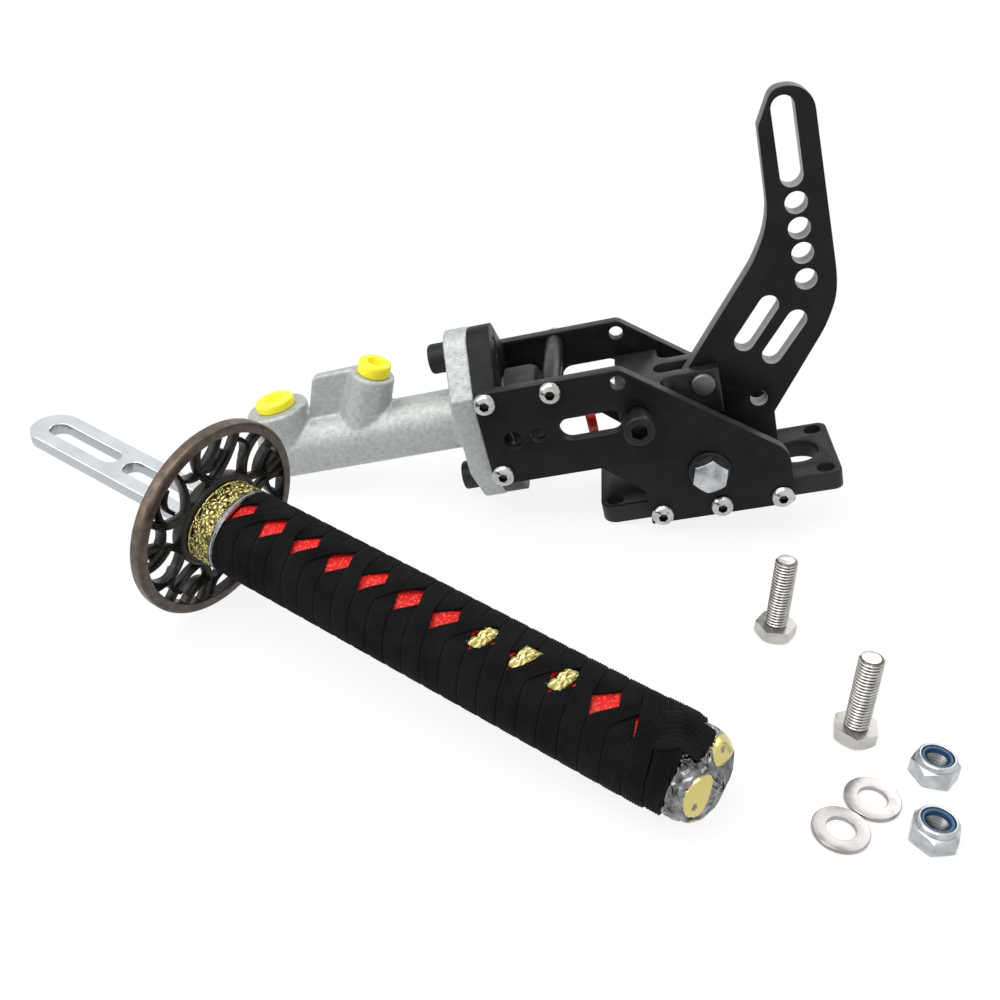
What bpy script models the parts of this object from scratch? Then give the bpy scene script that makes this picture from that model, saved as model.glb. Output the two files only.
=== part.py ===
# Hydraulic hand brake kit: a slotted lever in a plate frame, a cast master cylinder,
# and beside them the handle with its round guard and the loose fastening hardware.
# Sizes are in millimetres, and the helpers turn them into metres.

import math

import bmesh
import bpy
from mathutils import Euler, Matrix, Vector

MM = 0.001

# Clearances
GAP = 0.3
SEAT = 0.1

# Plate frame
SIDE_THICK = 5.0
FRAME_GAP = 45.0
BASE_LENGTH = 100.0
BASE_THICK = 8.0
BASE_HOLE_DIA = 7.0
BASE_HOLE_INSET = 6.3
BASE_HOLE_ROW = 16.5
BIG_HOLE_DIA = 17.5
BIG_HOLE_INSET = 15.2
ARM_LEFT = -90.4
ARM_BOTTOM = 30.5
ARM_TOP = 72.5
ARM_TOP_RIGHT = -31.0
FOOT_HALF = 29.5
FOOT_RISE = 24.5
WINDOW_LEFT = -59.0
WINDOW_RIGHT = -33.0
WINDOW_HEIGHT = 10.4
SPACER_X = -59.3
SPACER_Z = 68.0
SPACER_DIA = 8.0

# Lever and its pivot
PIVOT_X = -3.0
PIVOT_Z = 22.0
BUSH_WALL = 2.7
LEVER_THICK = 8.0
LEVER_TOP = 158.1
LEVER_HOLE_DIA = 8.4
LEVER_SLOT_WIDTH = 8.0

# Master cylinder
AXIS_Z = 51.5
BORE_DIA = 19.05
BORE_END = 187.0
BARREL_DIA = 26.0
NOSE_END = 194.0
BOLT_SPREAD = 57.15
END_PLATE_THICK = 9.0
END_ROUND = 10.4
FLANGE_THICK = 10.2
FLANGE_ROUND = 10.8
SPIGOT_DIA = 28.0
SPIGOT_END = 78.0
PORT_DIA = 10.0
OUTLET_DEPTH = 9.0
INLET_DEPTH = 14.0
OUTLET_X = -181.5
OUTLET_DIA = 27.0
OUTLET_TOP = 72.0
INLET_LEAN = 27.0
INLET_DIA = 20.0
INLET_LENGTH = 31.0
INLET_X = -148.8
WEB_THICK = 5.0

# What moves in the bore
PISTON_START = 84.6
PISTON_LENGTH = 55.4
SOCKET_DIA = 10.5
SOCKET_DEPTH = 15.0
CIRCLIP_PLACE = 81.2
CUP_LENGTH = 6.0
SPRING_WIRE = 1.6
SPRING_TURNS = 7

# Rod and fork
ROD_DIA = 8.0
ROD_TIP = 99.5
ROD_END = 22.0
FORK_HEIGHT = 20.0
FORK_TOP = 57.5
FORK_LEFT = -35.0
FORK_SHOULDER = -17.0
FORK_ROOT = -19.2
FORK_RIGHT = 7.0
FORK_PRONG = 4.85
FORK_SIDE_GAP = 2.0
PIN_DIA = 8.0
PIN_HEAD_DIA = 9.8
PIN_HEAD = 2.0
BOOT_RADIUS = 17.0
BOOT_WALL = 2.0
BOOT_NEAR = 66.0
BOOT_FAR = 80.2
BAND_DIA = 24.0
BAND_WIDTH = 3.6
BAND_WALL = 0.8
BAND_X = -48.5

# Fasteners
M5 = 5.0
M5_HEAD = 9.5
M5_RISE = 2.75
M5_LENGTH = 16.0
M8 = 8.0
HEX_FLATS = 13.0
HEX_RISE = 5.3
NUT_RISE = 8.0
JAM_RISE = 5.0
CAP_DIA = 12.6
CAP_RISE = 8.0
WASHER_DIA = 17.0
WASHER_BORE = 8.8
WASHER_THICK = 1.6
LOCK_STANDOFF = 6.0
LOOSE_SHANK = 28.0
NYLON_RISE = 2.2

# Handle
HANDLE_TURN = -27.9
HANDLE_LENGTH = 202.3
GUARD_DIA = 76.2
GUARD_THICK = 5.0
GUARD_RIM = 4.2
HUB_MARGIN = 2.4
COLLAR_LENGTH = 12.0
GRIP_WIDTH = 33.6
GRIP_DEPTH = 28.8
GRIP_ROLL = 20.0
WRAP_THICK = 2.2
WRAP_CROSSINGS = 12
WINDOW_COUNT = 11
WINDOW_START = 2.3
WINDOW_SIDE = 1.3
WINDOW_HALF_WIDTH = 6.3
WINDOW_LEAN = 2.3
ORNAMENT_FIRST = 7
ORNAMENT_BOSSES = 3
ORNAMENT_THICK = 0.8
KNOT_WIDTH = 18.0
KNOT_RISE = 2.0
TONGUE_LENGTH = 6.3
TONGUE_WIDTH = 13.0
POMMEL_DIA = 29.4
POMMEL_LENGTH = 13.0
POMMEL_RIM = 4.0
TANG_WIDTH = 20.0
TANG_THICK = 5.0
TANG_REACH = 96.0
TANG_INSIDE = 100.0
TANG_SLOT_WIDTH = 8.0
TANG_SLOT_LENGTH = 37.0
TANG_SLOT_STEP = 41.5
TANG_SLOT_START = 9.7

# Guard branches: angle at the hub, angle at the rim, how far the branch bows, and its width
BRANCHES = (
    (4, 40, 4.0, 3.4),
    (32, 12, -3.0, 2.6),
    (56, 92, 5.0, 3.2),
    (82, 60, -3.5, 2.8),
    (106, 138, 4.0, 3.4),
    (130, 108, -4.0, 2.6),
    (156, 190, 5.0, 3.2),
    (184, 160, -3.0, 2.8),
    (208, 242, 4.0, 3.4),
    (234, 212, -4.0, 2.6),
    (258, 292, 5.0, 3.2),
    (284, 262, -3.0, 2.8),
    (308, 342, 4.0, 3.4),
    (334, 314, -4.0, 2.6),
)
# Twigs that leave a branch half way: the branch's angle at the hub, then as above
TWIGS = (
    (4, 24, 2.0, 2.2),
    (56, 76, -2.0, 2.2),
    (130, 122, 2.5, 2.0),
    (156, 174, -2.0, 2.2),
    (208, 226, 2.0, 2.2),
    (284, 276, 2.0, 2.0),
    (308, 328, -2.0, 2.2),
)
BRANCH_THIN = 3.0
BRANCH_STEP = 0.06

# Where the things on the floor lie, in plan
GUARD_PLACE = (-192.8, -87.4)
LOOSE_BOLTS = ((13.5, -91.1), (31.9, -142.4))
LOOSE_WASHERS = ((31.8, -170.1), (19.9, -182.8))
LOOSE_NUTS = ((53.1, -157.4), (46.4, -183.1))

# Worked out from the sizes above
SIDE_OUTER = FRAME_GAP / 2 + SIDE_THICK
FRAME_INNER_WIDTH = FRAME_GAP - 2 * GAP
FRAME_SCREW_Z = BASE_THICK / 2
END_PLATE_NEAR = -ARM_LEFT - END_PLATE_THICK
END_SCREW_X = ARM_LEFT + END_PLATE_THICK / 2
END_PLATE_FAR = -ARM_LEFT
FLANGE_NEAR = END_PLATE_FAR + GAP
FLANGE_FAR = FLANGE_NEAR + FLANGE_THICK
FLANGE_FOOT = AXIS_Z - BOLT_SPREAD / 2 - FLANGE_ROUND
TIP = math.atan2(FLANGE_FOOT, FLANGE_FAR - BASE_LENGTH / 2)
FORK_SLOT = LEVER_THICK + 2 * GAP
FORK_HALF = FORK_SLOT / 2 + FORK_PRONG
FORK_GUIDE_HALF = FRAME_GAP / 2 - FORK_SIDE_GAP
PISTON_END = PISTON_START + PISTON_LENGTH
BORE_FIT = BORE_DIA / 2 - GAP
M5_BORE = M5 + 2 * GAP
M8_BORE = M8 + 2 * GAP
BUSH_DIA = M8_BORE + 2 * BUSH_WALL
BUSH_BORE = BUSH_DIA + 2 * GAP


# Scene, collections and materials

for old in list(bpy.data.objects):
    bpy.data.objects.remove(old, do_unlink=True)

part_set = bpy.data.collections.new("hydraulic_hand_brake")
cutter_set = bpy.data.collections.new("cutters")
bpy.context.scene.collection.children.link(part_set)
bpy.context.scene.collection.children.link(cutter_set)


def paint(name, colour, roughness, metallic):
    material = bpy.data.materials.new(name)
    material.use_nodes = True
    surface = material.node_tree.nodes["Principled BSDF"]
    surface.inputs["Base Color"].default_value = (*colour, 1.0)
    surface.inputs["Roughness"].default_value = roughness
    surface.inputs["Metallic"].default_value = metallic
    material.diffuse_color = (*colour, 1.0)
    return material


BLACK_PLATE = paint("black_plate", (0.018, 0.018, 0.019), 0.45, 0.3)
CAST_ALLOY = paint("cast_alloy", (0.44, 0.48, 0.46), 0.5, 0.7)
YELLOW_PLASTIC = paint("yellow_plastic", (0.90, 0.80, 0.03), 0.4, 0.0)
BLACK_STEEL = paint("black_steel", (0.02, 0.02, 0.022), 0.4, 0.6)
ZINC_STEEL = paint("zinc_steel", (0.55, 0.56, 0.58), 0.3, 1.0)
STAINLESS = paint("stainless", (0.60, 0.56, 0.50), 0.3, 1.0)
NYLON = paint("blue_nylon", (0.03, 0.25, 0.45), 0.5, 0.0)
RUBBER = paint("black_rubber", (0.02, 0.02, 0.02), 0.8, 0.0)
BRONZE = paint("bush_bronze", (0.45, 0.30, 0.12), 0.4, 1.0)
BAND_RED = paint("band_red", (0.70, 0.03, 0.02), 0.35, 0.0)
BAR_SILVER = paint("bar_silver", (0.70, 0.70, 0.70), 0.25, 1.0)
GUARD_BRONZE = paint("guard_bronze", (0.05, 0.035, 0.025), 0.45, 0.8)
OLD_GOLD = paint("old_gold", (0.60, 0.52, 0.18), 0.35, 1.0)
GRIP_RED = paint("grip_red", (0.65, 0.02, 0.02), 0.7, 0.0)
CORD_BLACK = paint("cord_black", (0.010, 0.012, 0.011), 0.8, 0.0)
GUNMETAL = paint("gunmetal", (0.10, 0.10, 0.10), 0.35, 0.9)


# Outlines

def rounded(corners, arc_step=28.0):
    """Points of an outline whose corners are (x, y, fillet radius)."""
    outline = []
    for index, (x, y, radius) in enumerate(corners):
        here = Vector((x, y))
        if radius <= 0:
            outline.append((x, y))
            continue
        back = (Vector(corners[index - 1][:2]) - here).normalized()
        ahead = (Vector(corners[(index + 1) % len(corners)][:2]) - here).normalized()
        half = back.angle(ahead) / 2
        reach = radius / math.tan(half)
        centre = here + (back + ahead).normalized() * (radius / math.sin(half))
        first = here + back * reach - centre
        last = here + ahead * reach - centre
        start = math.atan2(first.y, first.x)
        sweep = math.atan2(last.y, last.x) - start
        sweep = (sweep + math.pi) % (2 * math.pi) - math.pi
        steps = max(2, math.ceil(math.degrees(abs(sweep)) / arc_step))
        for step in range(steps + 1):
            angle = start + sweep * step / steps
            outline.append((centre.x + radius * math.cos(angle), centre.y + radius * math.sin(angle)))
    return outline


def circle(x, y, diameter, steps=16):
    turn = [2 * math.pi * step / steps for step in range(steps)]
    return [(x + diameter / 2 * math.cos(a), y + diameter / 2 * math.sin(a)) for a in turn]


def oval(width, height, steps=32):
    turn = [2 * math.pi * step / steps for step in range(steps)]
    return [(width / 2 * math.cos(a), height / 2 * math.sin(a)) for a in turn]


def oblong(x0, y0, x1, y1, width, steps=6):
    """A slot of this width whose round ends are centred on two points."""
    lie = math.atan2(y1 - y0, x1 - x0)
    outline = []
    for x, y, start in ((x1, y1, lie - math.pi / 2), (x0, y0, lie + math.pi / 2)):
        for step in range(steps + 1):
            angle = start + math.pi * step / steps
            outline.append((x + width / 2 * math.cos(angle), y + width / 2 * math.sin(angle)))
    return outline


def lozenge(half_width, half_block, bolt_half, radius, steps=8):
    """A block with tapering ends that finish round about a bolt hole above and below."""
    corner = Vector((half_width, half_block))
    to_bolt = Vector((0, bolt_half)) - corner
    swing = math.asin(radius / to_bolt.length)
    lie = math.atan2(to_bolt.y, to_bolt.x) - swing
    touch = corner + Vector((math.cos(lie), math.sin(lie))) * math.sqrt(to_bolt.length**2 - radius**2)
    first = math.atan2(touch.y - bolt_half, touch.x)
    top = []
    for step in range(steps + 1):
        angle = first + (math.pi - 2 * first) * step / steps
        top.append((radius * math.cos(angle), bolt_half + radius * math.sin(angle)))
    upper = [(half_width, half_block)] + top + [(-half_width, half_block)]
    return upper + [(-x, -y) for x, y in upper]


# Meshes

def baked(obj):
    """The object's evaluated shape as one welded mesh, after which the object goes."""
    bpy.context.view_layer.update()
    graph = bpy.context.evaluated_depsgraph_get()
    mesh = bpy.data.meshes.new_from_object(obj.evaluated_get(graph))
    mesh.transform(obj.matrix_world)
    mesh.materials.clear()
    bpy.data.objects.remove(obj, do_unlink=True)
    shape = bmesh.new()
    shape.from_mesh(mesh)
    bmesh.ops.remove_doubles(shape, verts=shape.verts, dist=1e-6)
    bmesh.ops.recalc_face_normals(shape, faces=shape.faces)
    shape.to_mesh(mesh)
    shape.free()
    return mesh


def held(name, data):
    obj = bpy.data.objects.new(name, data)
    cutter_set.objects.link(obj)
    return obj


def slab(outlines, thick):
    """A flat outline with its holes, given thickness about its own plane."""
    curve = bpy.data.curves.new("outline", "CURVE")
    curve.dimensions = "2D"
    curve.fill_mode = "BOTH"
    curve.extrude = thick / 2 * MM
    for outline in outlines:
        spline = curve.splines.new("POLY")
        spline.points.add(len(outline) - 1)
        for point, (x, y) in zip(spline.points, outline):
            point.co = (x * MM, y * MM, 0, 1)
        spline.use_cyclic_u = True
    return baked(held("outline", curve))


def turned(profile, steps=32, ring=False):
    """A profile of (radius, height) points turned about Z; a ring's profile is closed."""
    mesh = bpy.data.meshes.new("profile")
    edges = [(index, index + 1) for index in range(len(profile) - 1)]
    if ring:
        edges.append((len(profile) - 1, 0))
    mesh.from_pydata([(r * MM, 0, z * MM) for r, z in profile], edges, [])
    holder = held("profile", mesh)
    screw = holder.modifiers.new("Turn", "SCREW")
    screw.steps = steps
    screw.render_steps = steps
    screw.use_merge_vertices = True
    screw.merge_threshold = 1e-6
    return baked(holder)


def rod(diameter, low, high, steps=20):
    return turned([(0, high), (diameter / 2, high), (diameter / 2, low), (0, low)], steps)


def tube(outer, inner, low, high, steps=24):
    profile = [(outer / 2, high), (outer / 2, low), (inner / 2, low), (inner / 2, high)]
    return turned(profile, steps, ring=True)


def hexagon(flats, low, high):
    shape = bmesh.new()
    radius = flats / math.sqrt(3) * MM
    bmesh.ops.create_cone(
        shape, cap_ends=True, segments=6, radius1=radius, radius2=radius, depth=(high - low) * MM
    )
    bmesh.ops.translate(shape, verts=shape.verts, vec=(0, 0, (low + high) / 2 * MM))
    mesh = bpy.data.meshes.new("hexagon")
    shape.to_mesh(mesh)
    shape.free()
    return mesh


def block(length, width, height):
    shape = bmesh.new()
    bmesh.ops.create_cube(shape, size=1.0)
    bmesh.ops.scale(shape, verts=shape.verts, vec=(length * MM, width * MM, height * MM))
    mesh = bpy.data.meshes.new("block")
    shape.to_mesh(mesh)
    shape.free()
    return mesh


def moved(mesh, at=(0, 0, 0), turn=(0, 0, 0)):
    angles = Euler([math.radians(angle) for angle in turn])
    mesh.transform(Matrix.Translation(Vector(at) * MM) @ angles.to_matrix().to_4x4())
    return mesh


def shaped(mesh, *changes):
    """The mesh with others joined to it or cut from it, one after the other."""
    for operation, other in changes:
        base = held("base", mesh)
        tool = held("tool", other)
        change = base.modifiers.new("Change", "BOOLEAN")
        change.operation = operation
        change.object = tool
        mesh = baked(base)
        bpy.data.objects.remove(tool, do_unlink=True)
    return mesh


# Objects

def place(obj, at, turn, parent):
    obj.location = Vector(at) * MM
    obj.rotation_euler = [math.radians(angle) for angle in turn]
    obj.parent = parent


def empty(name, at=(0, 0, 0), turn=(0, 0, 0), parent=None):
    obj = bpy.data.objects.new(name, None)
    obj.empty_display_size = 0.01
    part_set.objects.link(obj)
    place(obj, at, turn, parent)
    return obj


def piece(name, mesh, material, parent, at=(0, 0, 0), turn=(0, 0, 0)):
    if not mesh.materials:
        mesh.name = name
        mesh.materials.append(material)
    obj = bpy.data.objects.new(name, mesh)
    part_set.objects.link(obj)
    place(obj, at, turn, parent)
    return obj


def cut(obj, mesh, parent, at=(0, 0, 0), turn=(0, 0, 0), operation="DIFFERENCE"):
    """A Boolean that stays on the object, with its cutter hidden and kept in its own set."""
    tool = held(f"{obj.name}_tool", mesh)
    tool.hide_render = True
    tool.display_type = "WIRE"
    place(tool, at, turn, parent)
    change = obj.modifiers.new("Cut", "BOOLEAN")
    change.operation = operation
    change.object = tool
    change.solver = "EXACT"


FRONT = (90, 0, 0)
REAR = (-90, 0, 0)
LEFTWARD = (0, -90, 0)

stand = empty(
    "stand", at=(0, 0, BASE_LENGTH / 2 * math.sin(TIP)), turn=(0, -math.degrees(TIP), 0)
)
cylinder_axis = empty("cylinder_axis", at=(0, 0, AXIS_Z), turn=LEFTWARD, parent=stand)
lever_pivot = empty("lever_pivot", at=(PIVOT_X, 0, PIVOT_Z), parent=stand)
fork_pivot = empty("fork_pivot", at=(0, 0, AXIS_Z), parent=stand)
rod_axis = empty("rod_axis", turn=LEFTWARD, parent=fork_pivot)
outlet_axis = empty("outlet_axis", at=(OUTLET_X, 0, OUTLET_TOP), parent=stand)
inlet_axis = empty(
    "inlet_axis",
    at=(
        INLET_X + INLET_LENGTH * math.sin(math.radians(INLET_LEAN)),
        0,
        AXIS_Z + INLET_LENGTH * math.cos(math.radians(INLET_LEAN)),
    ),
    turn=(0, INLET_LEAN, 0),
    parent=stand,
)


# Shared fastener shapes, each with its seat at height 0 and its head above

def button_screw():
    radius = M5_HEAD / 2
    body = turned(
        [
            (0, M5_RISE),
            (radius * 0.45, M5_RISE),
            (radius * 0.82, M5_RISE * 0.68),
            (radius, M5_RISE * 0.2),
            (radius, 0),
            (M5 / 2, 0),
            (M5 / 2, -M5_LENGTH),
            (0, -M5_LENGTH),
        ],
        16,
    )
    return shaped(body, ("DIFFERENCE", hexagon(3.0, M5_RISE * 0.4, M5_RISE + 1)))


def cap_screw(length):
    radius = CAP_DIA / 2
    chamfer = 0.6
    body = turned(
        [
            (0, CAP_RISE),
            (radius - chamfer, CAP_RISE),
            (radius, CAP_RISE - chamfer),
            (radius, 0),
            (M8 / 2, 0),
            (M8 / 2, -length),
            (0, -length),
        ],
        20,
    )
    return shaped(body, ("DIFFERENCE", hexagon(6.0, CAP_RISE / 2, CAP_RISE + 1)))


def hex_head(rise):
    """A hexagon whose corners are turned off, as on a bolt head."""
    corner = HEX_FLATS / math.sqrt(3)
    flat = HEX_FLATS / 2
    over = corner + 0.1
    dome = turned([(0, rise), (flat * 0.97, rise), (over, rise * 0.82), (over, -0.5), (0, -0.5)], 24)
    return shaped(hexagon(HEX_FLATS, 0, rise + 0.5), ("INTERSECT", dome))


def hex_bolt(length):
    chamfer = 0.7
    shank = turned(
        [(0, 1), (M8 / 2, 1), (M8 / 2, chamfer - length), (M8 / 2 - chamfer, -length), (0, -length)], 24
    )
    return shaped(hex_head(HEX_RISE), ("UNION", shank))


def hex_nut(rise, bore=M8_BORE):
    return shaped(hex_head(rise), ("DIFFERENCE", rod(bore, -1, rise + 1)))


def lock_nut():
    """A nut whose top is turned down to a collar, recessed for its nylon ring."""
    collar = 1.9
    hex_rise = NUT_RISE - collar
    radius = HEX_FLATS / 2 * 0.93
    top = turned(
        [
            (0, NUT_RISE),
            (radius - 0.6, NUT_RISE),
            (radius, NUT_RISE - 0.6),
            (radius, hex_rise - 1),
            (0, hex_rise - 1),
        ],
        24,
    )
    seat = rod(2 * (radius - 1.2), NUT_RISE - NYLON_RISE - GAP, NUT_RISE + 1)
    through = rod(M8 * 0.85, -1, NUT_RISE + 1)
    return shaped(hex_head(hex_rise), ("UNION", top), ("DIFFERENCE", through), ("DIFFERENCE", seat))


def nylon_ring():
    radius = HEX_FLATS / 2 * 0.93 - 1.2
    return tube(2 * (radius - SEAT), M8 * 0.92, NUT_RISE - NYLON_RISE - GAP + SEAT, NUT_RISE - 0.4, 24)


def washer():
    return tube(WASHER_DIA, WASHER_BORE, 0, WASHER_THICK)


# Plate frame

BASE_SCREW_X = (-24.5, 0.0, 24.5)
END_SCREW_Z = (35.0, 68.0)
LOCK_X = -27.0


def side_plate():
    outline = rounded(
        [
            (ARM_LEFT, ARM_BOTTOM, 4.5),
            (-45.4, ARM_BOTTOM, 0),
            (-FOOT_HALF, 16.0, 2.0),
            (-FOOT_HALF, 0, 0),
            (FOOT_HALF, 0, 2.5),
            (FOOT_HALF, FOOT_RISE, 12),
            (ARM_TOP_RIGHT, ARM_TOP, 5),
            (ARM_LEFT, ARM_TOP, 4.5),
        ]
    )
    half = WINDOW_HEIGHT / 2
    window_z = AXIS_Z - 0.8
    holes = [oblong(WINDOW_LEFT + half, window_z, WINDOW_RIGHT - half, window_z, WINDOW_HEIGHT)]
    holes += [circle(x, FRAME_SCREW_Z, M5_BORE, 12) for x in BASE_SCREW_X]
    holes += [circle(END_SCREW_X, z, M5_BORE, 12) for z in END_SCREW_Z]
    holes += [
        circle(SPACER_X, SPACER_Z, M5_BORE, 12),
        circle(PIVOT_X, PIVOT_Z, M8_BORE),
        circle(LOCK_X, AXIS_Z, M8_BORE),
        circle(-68.0, 50.3, 6.0, 16),
        circle(-78.4, 49.8, 8.0, 20),
        circle(-32.6, 67.1, 6.0, 16),
    ]
    return slab([outline] + holes, SIDE_THICK)


def build_frame():
    plate = side_plate()
    middle = SIDE_OUTER - SIDE_THICK / 2
    piece("front_side_plate", plate, BLACK_PLATE, stand, (0, -middle, 0), FRONT)
    piece("rear_side_plate", plate, BLACK_PLATE, stand, (0, middle, 0), FRONT)

    half = BASE_LENGTH / 2
    width = FRAME_INNER_WIDTH / 2
    outline = rounded([(-half, -width, 6.5), (half, -width, 4), (half, width, 4), (-half, width, 6.5)])
    hole_x = half - BASE_HOLE_INSET
    rows = (-BASE_HOLE_ROW, BASE_HOLE_ROW)
    holes = [circle(x, y, BASE_HOLE_DIA) for x in (-hole_x, hole_x) for y in rows]
    holes.append(circle(half - BIG_HOLE_INSET, 0, BIG_HOLE_DIA, 32))
    base = piece(
        "base_plate", slab([outline] + holes, BASE_THICK), BLACK_PLATE, stand, (0, 0, BASE_THICK / 2)
    )
    for side, turn in ((-1, FRONT), (1, REAR)):
        for x in BASE_SCREW_X:
            cut(base, screw_hole(), stand, (x, side * width, FRAME_SCREW_Z), turn)

    screw = button_screw()
    for side, end, turn in ((-1, "front", FRONT), (1, "rear", REAR)):
        y = side * (SIDE_OUTER + SEAT)
        for number, x in enumerate(BASE_SCREW_X, 1):
            piece(f"base_screw_{end}_{number}", screw, STAINLESS, stand, (x, y, FRAME_SCREW_Z), turn)
        for level, z in zip(("lower", "upper"), END_SCREW_Z):
            piece(f"end_screw_{end}_{level}", screw, STAINLESS, stand, (END_SCREW_X, y, z), turn)
        piece(f"spacer_screw_{end}", screw, STAINLESS, stand, (SPACER_X, y, SPACER_Z), turn)

    spacer = rod(SPACER_DIA, -width, width, 20)
    spacer = piece("plate_spacer", spacer, BLACK_STEEL, stand, (SPACER_X, 0, SPACER_Z), FRONT)
    cut(spacer, screw_hole(), stand, (SPACER_X, -width, SPACER_Z), FRONT)
    cut(spacer, screw_hole(), stand, (SPACER_X, width, SPACER_Z), REAR)

    head_seat = SIDE_OUTER + LOCK_STANDOFF
    tip = FORK_GUIDE_HALF + 0.8
    piece("lock_bolt", cap_screw(head_seat - tip), BLACK_STEEL, stand, (LOCK_X, -head_seat, AXIS_Z), FRONT)


def screw_hole():
    """The blind hole that a screw runs into behind a side plate, opening at height 0."""
    reach = M5_LENGTH - SIDE_THICK - GAP - SEAT + 0.6
    return rod(M5_BORE, -reach, 1, 12)


def build_end_plate():
    bolt_half = BOLT_SPREAD / 2
    outline = lozenge(FRAME_INNER_WIDTH / 2, 19.5, bolt_half, END_ROUND)
    holes = [circle(0, 0, SPIGOT_DIA + 2 * GAP, 36)]
    holes += [circle(0, z, M8_BORE) for z in (-bolt_half, bolt_half)]
    turned_outline = [[(-y, x) for x, y in line] for line in [outline] + holes]
    plate = slab(turned_outline, END_PLATE_THICK)
    x = (END_PLATE_NEAR + END_PLATE_FAR) / 2
    plate = piece("end_plate", plate, BLACK_PLATE, cylinder_axis, (0, 0, x))
    for side, turn in ((-1, FRONT), (1, REAR)):
        for z in END_SCREW_Z:
            cut(plate, screw_hole(), stand, (END_SCREW_X, side * FRAME_INNER_WIDTH / 2, z), turn)

    bolt = cap_screw(FLANGE_FAR - END_PLATE_NEAR)
    for name, side in (("flange_bolt_upper", 1), ("flange_bolt_lower", -1)):
        piece(name, bolt, BLACK_STEEL, cylinder_axis, (side * bolt_half, 0, FLANGE_FAR + SEAT))


# Master cylinder, drawn along its axis: height is the distance left of the stand's centre

def build_cylinder():
    bolt_half = BOLT_SPREAD / 2
    outline = [(-y, x) for x, y in lozenge(FRAME_INNER_WIDTH / 2, 17.0, bolt_half, FLANGE_ROUND)]
    flange = moved(slab([outline], FLANGE_THICK), (0, 0, (FLANGE_NEAR + FLANGE_FAR) / 2))
    radius = BARREL_DIA / 2
    collar = 3.0
    barrel = turned(
        [
            (0, NOSE_END),
            (radius * 0.62, NOSE_END),
            (radius * 0.88, NOSE_END - 1.6),
            (radius, NOSE_END - 4.5),
            (radius, FLANGE_FAR + collar),
            (radius + 1.6, FLANGE_FAR + collar - 1),
            (radius + 1.6, FLANGE_NEAR + 1),
            (SPIGOT_DIA / 2, FLANGE_NEAR + 1),
            (SPIGOT_DIA / 2, SPIGOT_END + 0.8),
            (SPIGOT_DIA / 2 - 0.8, SPIGOT_END),
            (0, SPIGOT_END),
        ],
        32,
    )
    outlet = moved(outlet_boss(), (0, 0, -OUTLET_X), (0, 90, 0))
    inlet = moved(inlet_boss(), (0, 0, -INLET_X), (0, 90 + INLET_LEAN, 0))
    web = moved(slab([web_outline()], WEB_THICK), (0, 0, 0), (90, 0, 0))
    body = shaped(flange, ("UNION", barrel), ("UNION", outlet), ("UNION", inlet), ("UNION", web))
    body = piece("cylinder_body", body, CAST_ALLOY, cylinder_axis)

    bore = BORE_DIA / 2
    groove = CIRCLIP_PLACE
    hollow = turned(
        [
            (0, BORE_END + 3),
            (bore, BORE_END),
            (bore, groove + 1.4),
            (bore + 1.0, groove + 1.4),
            (bore + 1.0, groove),
            (bore, groove),
            (bore, SPIGOT_END - 1),
            (0, SPIGOT_END - 1),
        ],
        24,
    )
    cut(body, hollow, cylinder_axis)
    for side in (-1, 1):
        at = (side * bolt_half, 0, FLANGE_NEAR - 1)
        cut(body, rod(M8_BORE, 0, FLANGE_THICK + 2), cylinder_axis, at)
    for axis, depth, reach in (
        (outlet_axis, OUTLET_DEPTH, OUTLET_TOP - AXIS_Z),
        (inlet_axis, INLET_DEPTH, INLET_LENGTH),
    ):
        drilled = PORT_DIA / 2
        port = [(0, 1), (drilled, 1), (drilled, -depth), (1.5, -depth), (1.5, -reach), (0, -reach)]
        cut(body, turned(port, 16), axis)

    seat = (0, 0, SEAT)
    wide_plug = port_plug(17.0, 4.0, 9.0, OUTLET_DEPTH - 2)
    piece("outlet_plug", wide_plug, YELLOW_PLASTIC, outlet_axis, seat)
    small_plug = port_plug(14.0, 5.5, 4.0, INLET_DEPTH - 2)
    piece("inlet_plug", small_plug, YELLOW_PLASTIC, inlet_axis, seat)


def outlet_boss():
    radius = OUTLET_DIA / 2
    top = OUTLET_TOP - AXIS_Z
    return turned(
        [
            (0, top),
            (radius - 0.8, top),
            (radius, top - 0.8),
            (radius, top - 8),
            (radius * 0.86, 2),
            (0, 2),
        ],
        24,
    )


def inlet_boss():
    radius = INLET_DIA / 2
    top = INLET_LENGTH
    return turned(
        [(0, top), (radius - 1.2, top), (radius - 0.5, top - 0.8), (radius + 1, 0), (0, 0)], 20
    )


def web_outline():
    """The rib between the bosses, drawn in the cylinder's plane of height and distance."""
    corners = (
        (-170.0, 60.0, 0),
        (-166.5, 69.5, 2),
        (-160.9, 82.9, 3),
        (-141.5, 83.4, 2),
        (-136.0, 74.0, 0),
        (-148.0, 60.0, 0),
    )
    return rounded([(z - AXIS_Z, -x, r) for x, z, r in corners])


def port_plug(diameter, rise, dish, reach):
    radius = diameter / 2
    stem = PORT_DIA / 2 - GAP
    return turned(
        [
            (0, rise - dish * 0.28),
            (dish / 2 - 0.5, rise - dish * 0.28),
            (dish / 2, rise),
            (radius - 1, rise),
            (radius, rise - 1),
            (radius, 0),
            (stem, 0),
            (stem, -reach),
            (0, -reach),
        ],
        20,
    )


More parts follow.
